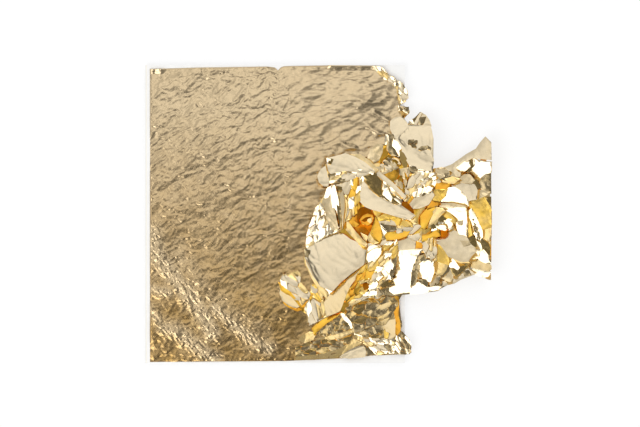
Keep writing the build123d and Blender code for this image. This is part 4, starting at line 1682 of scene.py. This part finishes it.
@dataclass
class OpenLeaf:
    """The flat leaf on the top page: finely wrinkled foil with worn edges.

    Its grid is coarser past hidden_from, a share of its width, where the crumple covers it.
    """

    cell: float = 0.40 * MM
    coarse: float = 2.4
    hidden_from: float = 0.55
    base: float = 0.10 * MM
    deepest_percent: float = 2.0
    soft: float = 0.12 * MM
    slant_deg: float = 20.0
    warp: float = 2.6 * MM
    warp_size: float = 8.0 * MM
    wrinkle: float = 0.16 * MM
    wrinkle_length: float = 2.9 * MM
    wrinkle_width: float = 1.8 * MM
    fine: tuple[tuple[float, float, float], ...] = ((1.0, 0.0, 0.0), (1.0, 51.0, 23.0))
    crease: float = 0.32 * MM
    middle: tuple[tuple[float, float, float], ...] = ((0.42, 7.0, 3.0), (0.36, 71.0, 11.0))
    swell: float = 0.9 * MM
    swell_length: float = 30.0 * MM
    swell_width: float = 16.0 * MM
    swell_shift: float = 40.0
    stroke: float = 0.5 * MM
    stroke_deg: float = -52.0
    stroke_length: float = 6.5 * MM
    stroke_width: float = 1.5 * MM
    stroke_wander: float = 0.5
    stroke_shift: float = 9.0
    break_size: float = 3.0 * MM
    break_level: float = 0.9
    break_shift: float = 5.0
    curl_reach: float = 2.4 * MM
    curl_rise: float = 1.1 * MM
    curl_steepness: float = 1.2
    curl_fade: float = 2.0 * MM
    # Painted shade: the leaf's colour darkens from fade_from towards the foot over fade_length, and
    # the streaks carry a painted highlight that takes part of it back.
    fade_from: float = 0.05
    fade_length: float = 0.10
    painted_light_and_shade: tuple[float, float] = (0.02, 0.43)
    streak_painted_highlight: float = 0.7
    crush: tuple[float, float, float] = (0.10, 0.06, 0.30)
    crease_deg: float = 40.0
    seed: int = 11

    top_edge_px: Points = (
        (150, 69.0), (200, 67.6), (268, 66.6), (275, 67.5), (278, 70.5), (280.5, 67.5),
        (284, 66.2), (330, 65.3), (374, 65.7), (384, 69.0))
    right_edge_px: Points = (
        (384, 69.0), (389, 76), (396, 80), (402, 83), (405.5, 89), (408, 97), (405, 102),
        (400, 105), (402, 109), (408.5, 107), (409, 113), (404, 118), (405, 124), (406, 200),
        (405, 290), (399, 300), (401, 319), (400, 330), (403, 332), (409, 339), (411.5, 347),
        (410, 354))
    bottom_edge_px: Points = (
        (150, 362), (200, 361.6), (285, 361), (347, 358), (373, 355.4), (410, 354))
    curls_px: Points = ((146, 166), (326, 402))
    streaks: tuple[Streak, ...] = (
        Streak((5, 880, 60, 1010, 130, 1100, 200, 1190, 260, 1260, 310, 1350, 330, 1400), 4.4, 1.2),
        Streak((340, 1270, 420, 1340, 500, 1400, 560, 1450, 620, 1480), 3.8, 1.0),
        Streak((90, 1370, 140, 1380, 190, 1420, 260, 1470, 340, 1530), 4.0, 1.1),
        Streak((5, 1165, 60, 1180, 110, 1190), 2.6, 0.9),
        Streak((5, 1270, 30, 1300, 60, 1340), 2.8, 0.9),
        Streak((150, 1000, 300, 1180, 420, 1290, 560, 1380), 5.0, 0.5),
    )
    ridges: tuple[Streak, ...] = (
        Streak((1080, 205, 1140, 225, 1200, 215), 1.2, 0.5),
        Streak((1160, 270, 1200, 295, 1230, 310), 1.2, 0.5),
        Streak((1130, 340, 1170, 370, 1200, 380), 1.2, 0.5),
        Streak((980, 420, 1020, 445, 1060, 450), 1.2, 0.45),
        Streak((1080, 240, 1120, 215, 1150, 185), 1.2, 0.4),
    )

    def edges(self, u: Array, v: Array) -> tuple[Array, Array]:
        """Places of the leaf's grid: straight at the spine side, blended between its ragged edges.

        Args:
            u: shares from the spine side to the fore edge, shape (rows, 1).
            v: shares from the foot to the head, shape (1, columns).

        Returns:
            X and Y of every grid point.
        """
        head = PHOTO.place(np.array(self.top_edge_px))
        fore = PHOTO.place(np.array(self.right_edge_px[::-1]))
        foot = PHOTO.place(np.array(self.bottom_edge_px))
        left = head[0, 0]
        top, low = resample(head, u.ravel()), resample(foot, u.ravel())
        right = resample(fore, v.ravel())
        spine_y = foot[0, 1] + (head[0, 1] - foot[0, 1]) * v

        def upward(at_head: Array, at_foot: Array) -> Array:
            """Blends a value at the head with one at the foot."""
            return at_head * v + at_foot * (1.0 - v)

        x = upward(top[:, :1], low[:, :1]) + u * (
            right[None, :, 0] - upward(head[-1, 0], foot[-1, 0]))
        y = upward(top[:, 1:], low[:, 1:]) + (1.0 - u) * (
            spine_y - upward(head[0, 1], foot[0, 1])) + u * (
            right[None, :, 1] - upward(head[-1, 1], foot[-1, 1]))
        return np.maximum(x, left), y

    def bell(self, x: Array, y: Array, streak: Streak) -> Array:
        """Strength of one long fold: a bell curve of the distance from its line.

        Args:
            x: places along X.
            y: places along Y.
            streak: the fold.

        Returns:
            Its height on the line, falling to nothing at both sides.
        """
        line = LEAF_VIEW.place(streak.path)
        nearest = np.full(x.shape, np.inf)
        for start, stop in zip(line, line[1:]):
            way = stop - start
            share = ((x - start[0]) * way[0] + (y - start[1]) * way[1]) / (way @ way)
            share = np.clip(share, 0.0, 1.0)
            gap = np.hypot(x - start[0] - share * way[0], y - start[1] - share * way[1])
            nearest = np.minimum(nearest, gap)
        return streak.height * np.exp(-((nearest / (streak.width * MM)) ** 2))

    def streaked(self, x: Array, y: Array) -> Array:
        """Strength of the hatched streaks at each place: that of the strongest one near it."""
        return np.maximum.reduce([self.bell(x, y, streak) for streak in self.streaks])

    def curls(self, x: Array, y: Array) -> Array:
        """Rise of the parts of the head edge that curl up: a curve that steepens to the edge.

        Args:
            x: places along X.
            y: places along Y.

        Returns:
            Heights in metres.
        """
        head = PHOTO.place(np.array(self.top_edge_px))
        gap = np.interp(x, head[:, 0], head[:, 1]) - y
        rise = np.clip(1.0 - gap / self.curl_reach, 0.0, 1.0) ** self.curl_steepness
        total = np.zeros_like(x)
        for left_px, right_px in self.curls_px:
            (left, _), (right, _) = PHOTO.place(np.array([(left_px, 0.0), (right_px, 0.0)]))
            fade = np.clip(np.minimum(x - left, right - x) / self.curl_fade, 0.0, 1.0)
            total = np.maximum(total, fade * rise)
        return self.curl_rise * total

    def height(self, x: Array, y: Array, noise: GradientNoise) -> Array:
        """Height of the wrinkles: creases up and down, stretched along X, over slow swells.

        Args:
            x: places along X.
            y: places along Y.
            noise: pattern of the wrinkles.

        Returns:
            Heights above the page, in metres.
        """
        warp = self.warp * noise.value(x / self.warp_size, y / self.warp_size)
        along, across = turned(x, y, math.radians(self.slant_deg))
        along, across = along + warp, across + warp
        long, wide = along / self.wrinkle_length, across / self.wrinkle_width
        fine = noise.creases(long, wide, 3, self.fine)
        middle = noise.creases(long, wide, 2, self.middle)
        broad = noise.value(along / self.swell_length, across / self.swell_width + self.swell_shift)
        total = self.wrinkle * fine + self.crease * middle + self.swell * broad
        along, across = turned(x, y, math.radians(self.stroke_deg))
        along, across = along / self.stroke_length, across / self.stroke_width
        hatch = noise.ridged(along + self.stroke_wander * broad, across + self.stroke_shift, 1)
        gaps = noise.value(x / self.break_size + self.break_shift, y / self.break_size)
        broken = self.break_level + self.break_level * gaps
        total = total + self.stroke * hatch * broken * self.streaked(x, y)
        for ridge in self.ridges:
            total = total + MM * self.bell(x, y, ridge)
        return total + self.curls(x, y)

    def build(self, crushed: list[FoldedFoil]) -> bpy.types.Object:
        """Makes the wrinkled sheet, closed by a flat underside on the page, with its worn edges.

        Args:
            crushed: the folded parts of its edges.

        Returns:
            The finished piece.
        """
        low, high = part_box("open_leaf")
        page = low.z
        width = high.x - low.x
        hidden = int((1.0 - self.hidden_from) * width / (self.coarse * self.cell))
        u = np.concatenate([
            np.arange(0.0, self.hidden_from, self.cell / width),
            np.linspace(self.hidden_from, 1.0, hidden)])[:, None]
        rows = len(u)
        columns = int((high.y - low.y) / self.cell)
        v = np.linspace(0.0, 1.0, columns)[None, :]
        x, y = self.edges(u, v)
        relief = self.height(x, y, GradientNoise(self.seed))
        relief = relief - np.percentile(relief, self.deepest_percent) + self.base
        squeezed = self.soft * np.exp((relief - self.soft) / self.soft)
        relief = np.where(relief < self.soft, squeezed, relief)
        border = np.minimum(np.minimum(u, 1.0 - u) * rows, np.minimum(v, 1.0 - v) * columns)
        z = page + relief * np.clip(0.5 + border * 0.5, 0.0, 1.0)
        grid = np.stack([x, y, z], axis=-1).reshape(-1, 3)
        rim = rim_of_grid(rows, columns)
        under = grid[rim].copy()
        under[:, 2] = page
        lower = len(grid) + np.arange(len(rim))
        faces = grid_faces(rows, columns)
        faces += wall_faces(rim, lower)
        faces.append(tuple(lower[::-1].tolist()))
        vertices = np.concatenate([grid, under])
        # Painted shade darker towards the foot, lightened by a painted highlight along the streaks.
        down = np.clip((self.fade_from - vertices[:, 1]) / self.fade_length, 0.0, 1.0)
        streaked = np.clip(self.streaked(vertices[:, 0], vertices[:, 1]), 0.0, 1.0)
        painted_light_and_shade = (self.painted_light_and_shade[0] + self.painted_light_and_shade[1] * down) * (1.0 - self.streak_painted_highlight * streaked)
        crush = self.crush[0] + self.crush[1] * down + self.crush[2] * streaked
        parts = MeshParts()
        parts.add(vertices, faces, painted_light_and_shade, crush)
        for edge in crushed:
            edge.add_folds(parts)
        log.info("the leaf's wrinkles rise %.2f mm", relief.max() / MM)
        obj = make_object("flat_leaf_foil", parts, self.crease_deg)
        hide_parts("open_leaf")
        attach(obj, "flat_leaf")
        return obj


# Studio


@dataclass(frozen=True)
class LightPatch:
    """A round bright or dark part of the reflected studio."""

    azimuth_deg: float
    polar_deg: float
    inner_deg: float
    outer_deg: float
    level: float


@dataclass(frozen=True)
class Lamp:
    """A soft square lamp that shines at the origin and isn't mirrored."""

    name: str
    place: tuple[float, float, float]
    power: float
    size: float

    def build(self) -> None:
        """Adds the lamp to the scene."""
        data = bpy.data.lights.new(self.name, "AREA")
        data.energy = self.power
        data.size = self.size
        lamp = bpy.data.objects.new(self.name, data)
        bpy.context.scene.collection.objects.link(lamp)
        lamp.location = self.place
        lamp.rotation_euler = (-lamp.location).to_track_quat("-Z", "Y").to_euler()
        lamp.visible_glossy = False


@dataclass
class Studio:
    """Pale floor, soft lamps, a tent that only reflections see, white background and camera."""

    tent_radius: float = 0.7
    tent_segments: int = 48
    tent_rings: int = 24
    tent_level: float = 0.46
    tent_lift: tuple[float, float, float] = (-0.14, 0.40, 0.0)
    tent_least: float = 0.16
    patches: tuple[LightPatch, ...] = (
        LightPatch(93.0, 14.0, 2.0, 21.5, 1.13),
        LightPatch(182.0, 27.0, 5.0, 11.0, 1.4),
        LightPatch(285.0, 29.0, 7.0, 17.0, 0.20),
        LightPatch(238.0, 39.0, 9.0, 15.0, 3.0),
        LightPatch(212.0, 36.0, 5.0, 11.0, 2.2),
        LightPatch(45.0, 38.0, 11.0, 21.0, 0.14),
        LightPatch(150.0, 56.0, 8.0, 18.0, 0.16),
        LightPatch(330.0, 60.0, 8.0, 18.0, 0.14),
    )
    rim_level: float = 0.8
    rim_polar_deg: tuple[float, float] = (52.0, 68.0)
    lamps: tuple[Lamp, ...] = (
        Lamp("key_lamp", (-0.7, -0.6, 1.3), power=9.0, size=1.0),
        Lamp("fill_lamp", (0.8, 0.7, 1.4), power=5.0, size=1.2),
    )
    floor_size: float = 6.0
    floor_white: float = 0.92
    floor_roughness: float = 0.9
    floor_glow: float = 0.72
    lens: float = 100.0
    sensor: float = 36.0
    world_level: float = 0.8
    leaf_level: float = 3.25 * MM

    def camera_place(self) -> Array:
        """Where the camera stands: over the photograph's middle, as high as its width asks.

        Returns:
            X, Y and Z.
        """
        centre = PHOTO.place(np.array([PHOTO.centre_px]))[0]
        distance = PHOTO.width_px * PHOTO.pixel * self.lens / self.sensor
        return np.array([centre[0], centre[1], self.leaf_level + distance])

    def floor(self) -> None:
        """A wide white floor that keeps a soft share of the object's shadow."""
        bpy.ops.mesh.primitive_plane_add(size=self.floor_size, location=(0.0, 0.0, 0.0))
        plane = bpy.context.object
        plane.name = "floor"
        made, sheet, shader = new_material("floor_white")
        white = colour(self.floor_white, self.floor_white, self.floor_white)
        sheet.fill(shader, {"Base Color": white, "Roughness": self.floor_roughness})
        glow = sheet.fill(sheet.add("ShaderNodeEmission"), {"Color": colour(1.0, 1.0, 1.0)})
        blend = sheet.fill(sheet.add("ShaderNodeMixShader"), {
            0: sheet.math("MULTIPLY", sheet.seen(), self.floor_glow),
            1: shader.outputs[0],
            2: glow.outputs[0],
        })
        sheet.fill(made.node_tree.nodes["Material Output"], {"Surface": blend.outputs[0]})
        plane.data.materials.append(made)

    def tent(self) -> None:
        """A dome round the set with light and dark parts, which only reflections see."""
        bpy.ops.mesh.primitive_uv_sphere_add(
            segments=self.tent_segments, ring_count=self.tent_rings, radius=self.tent_radius)
        dome = bpy.context.object
        dome.name = "reflection_tent"
        for ray in ("camera", "diffuse", "shadow", "transmission"):
            setattr(dome, f"visible_{ray}", False)
        made, sheet, shader = new_material("tent_light")
        made.cycles.emission_sampling = "NONE"
        sheet.tree.nodes.remove(shader)
        way = sheet.vector("NORMALIZE", sheet.add("ShaderNodeTexCoord").outputs["Object"])
        level = sheet.math("ADD", sheet.dot(way, self.tent_lift), self.tent_level)
        level = sheet.math("MAXIMUM", level, self.tent_least)
        for patch in self.patches:
            middle = sphere_place(patch.azimuth_deg, patch.polar_deg)
            inside = sheet.step(sheet.dot(way, middle), patch.outer_deg, patch.inner_deg)
            level = sheet.blend(inside, level, patch.level)
        upright = sheet.fill(sheet.add("ShaderNodeSeparateXYZ"), {0: way}).outputs["Z"]
        level = sheet.blend(sheet.step(upright, *self.rim_polar_deg), level, self.rim_level)
        glow = sheet.fill(sheet.add("ShaderNodeEmission"), {"Strength": level})
        sheet.fill(sheet.tree.nodes["Material Output"], {"Surface": glow.outputs[0]})
        dome.data.materials.append(made)

    def world(self) -> None:
        """Even soft light, with white to the camera and in reflections that miss the tent."""
        world = bpy.data.worlds.new("studio_world")
        bpy.context.scene.world = world
        world.use_nodes = True
        sheet = NodeSheet(world.node_tree)
        strength = sheet.math(
            "MULTIPLY_ADD", sheet.seen(), 1.0 - self.world_level, self.world_level)
        sheet.fill(world.node_tree.nodes["Background"], {
            "Color": colour(1.0, 1.0, 1.0), "Strength": strength})

    def camera(self) -> None:
        """A camera straight above, framed as the photograph is."""
        data = bpy.data.cameras.new("camera")
        data.lens = self.lens
        data.sensor_width = self.sensor
        camera = bpy.data.objects.new("camera", data)
        bpy.context.scene.collection.objects.link(camera)
        camera.location = self.camera_place().tolist()
        bpy.context.scene.camera = camera

    def build(self) -> None:
        """Sets up everything that isn't part of the object."""
        self.floor()
        self.tent()
        for lamp in self.lamps:
            lamp.build()
        self.world()
        self.camera()
        bpy.context.scene.view_settings.view_transform = "Standard"
        log.info("studio ready")


STUDIO = Studio()


# Paper and covers


@dataclass
class PaperBlock:
    """The booklet's own sheets, which keep their solids and get their materials here."""

    tissue_prefix: str = "tissue_"
    leaf_prefix: str = "leaf_"
    cards: tuple[str, ...] = ("front_cover", "back_cover")

    def dress(self, tissue: bpy.types.Material, card: bpy.types.Material, glue: bpy.types.Material,
              foil: bpy.types.Material) -> None:
        """Gives every kept solid its material.

        Args:
            tissue: for the pages.
            card: for the covers.
            glue: for the spine.
            foil: for the leaves between the pages.
        """
        for name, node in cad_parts.items():
            if name.startswith(self.tissue_prefix):
                chosen = tissue
            elif name.startswith(self.leaf_prefix):
                chosen = foil
            elif name in self.cards:
                chosen = card
            elif name == "spine_glue":
                chosen = glue
            else:
                continue
            node.data.materials.clear()
            node.data.materials.append(chosen)
        log.info("paper dressed")


def main() -> None:
    """Builds the studio, the paper, the open leaf, its turned corner and the crumpled leaf."""
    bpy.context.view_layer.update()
    STUDIO.build()
    group = foil_group(FoilMarks())
    crumpled, flat = CRUMPLED_FOIL.material(group), FLAT_FOIL.material(group)
    PaperBlock().dress(
        TISSUE.material(), CARD.material(), GLUE.material(), PRESSED_FOIL.material(group))

    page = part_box("open_leaf")[0].z
    leaf_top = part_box("open_leaf")[1].z
    edge = dict(body="flat_leaf", layer_height=0.35 * MM, skirt_depth=0.7 * MM,
                overlap=0.25 * MM, slot=1)
    foot = FoldedFoil(
        "foot_folds", "open_leaf", view=CORNER_VIEW, folds=FOOT_FOLDS, middle_px=(350.0, 346.0),
        reach_px=(90.0, 30.0), low=page + 1.0 * MM, peak=page + 1.3 * MM,
        ceiling=page + 2.6 * MM, seed=3, **edge)
    scallop = FoldedFoil(
        "scallop_folds", "open_leaf", view=WHOLE_VIEW, folds=SCALLOP_FOLDS,
        middle_px=(395.0, 90.0), reach_px=(40.0, 40.0), low=page + 0.8 * MM,
        peak=page + 1.2 * MM, ceiling=page + 2.2 * MM, seed=4, **edge)
    leaf = OpenLeaf().build([foot, scallop])
    leaf.data.materials.append(flat)
    leaf.data.materials.append(crumpled)

    corner = FoldedFoil(
        "turned_corner_foil", "turned_corner", "flat_leaf", CORNER_VIEW, CORNER_FOLDS,
        middle_px=(368.0, 320.0), reach_px=(60.0, 32.0), low=leaf_top + 1.2 * MM,
        peak=leaf_top + 2.4 * MM, ceiling=leaf_top + 4.0 * MM,
        layer_height=0.6 * MM, skirt_depth=1.6 * MM, seed=7).build()
    corner.data.materials.append(crumpled)

    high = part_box("crumpled_leaf")[1].z
    crumple = FoldedFoil(
        "crumpled_leaf_foil", "crumpled_leaf", "loose_leaf", CRUMPLE_VIEW, CRUMPLE_FOLDS,
        middle_px=(395.0, 222.0), reach_px=(118.0, 104.0), low=leaf_top + 1.75 * MM,
        peak=leaf_top + 9.75 * MM, ceiling=high - 0.1 * MM,
        warm_spots=CRUMPLE_WARM_SPOTS, cell=0.68 * MM, seed=5).build()
    crumple.data.materials.append(crumpled)


if __name__ == "__main__":
    main()
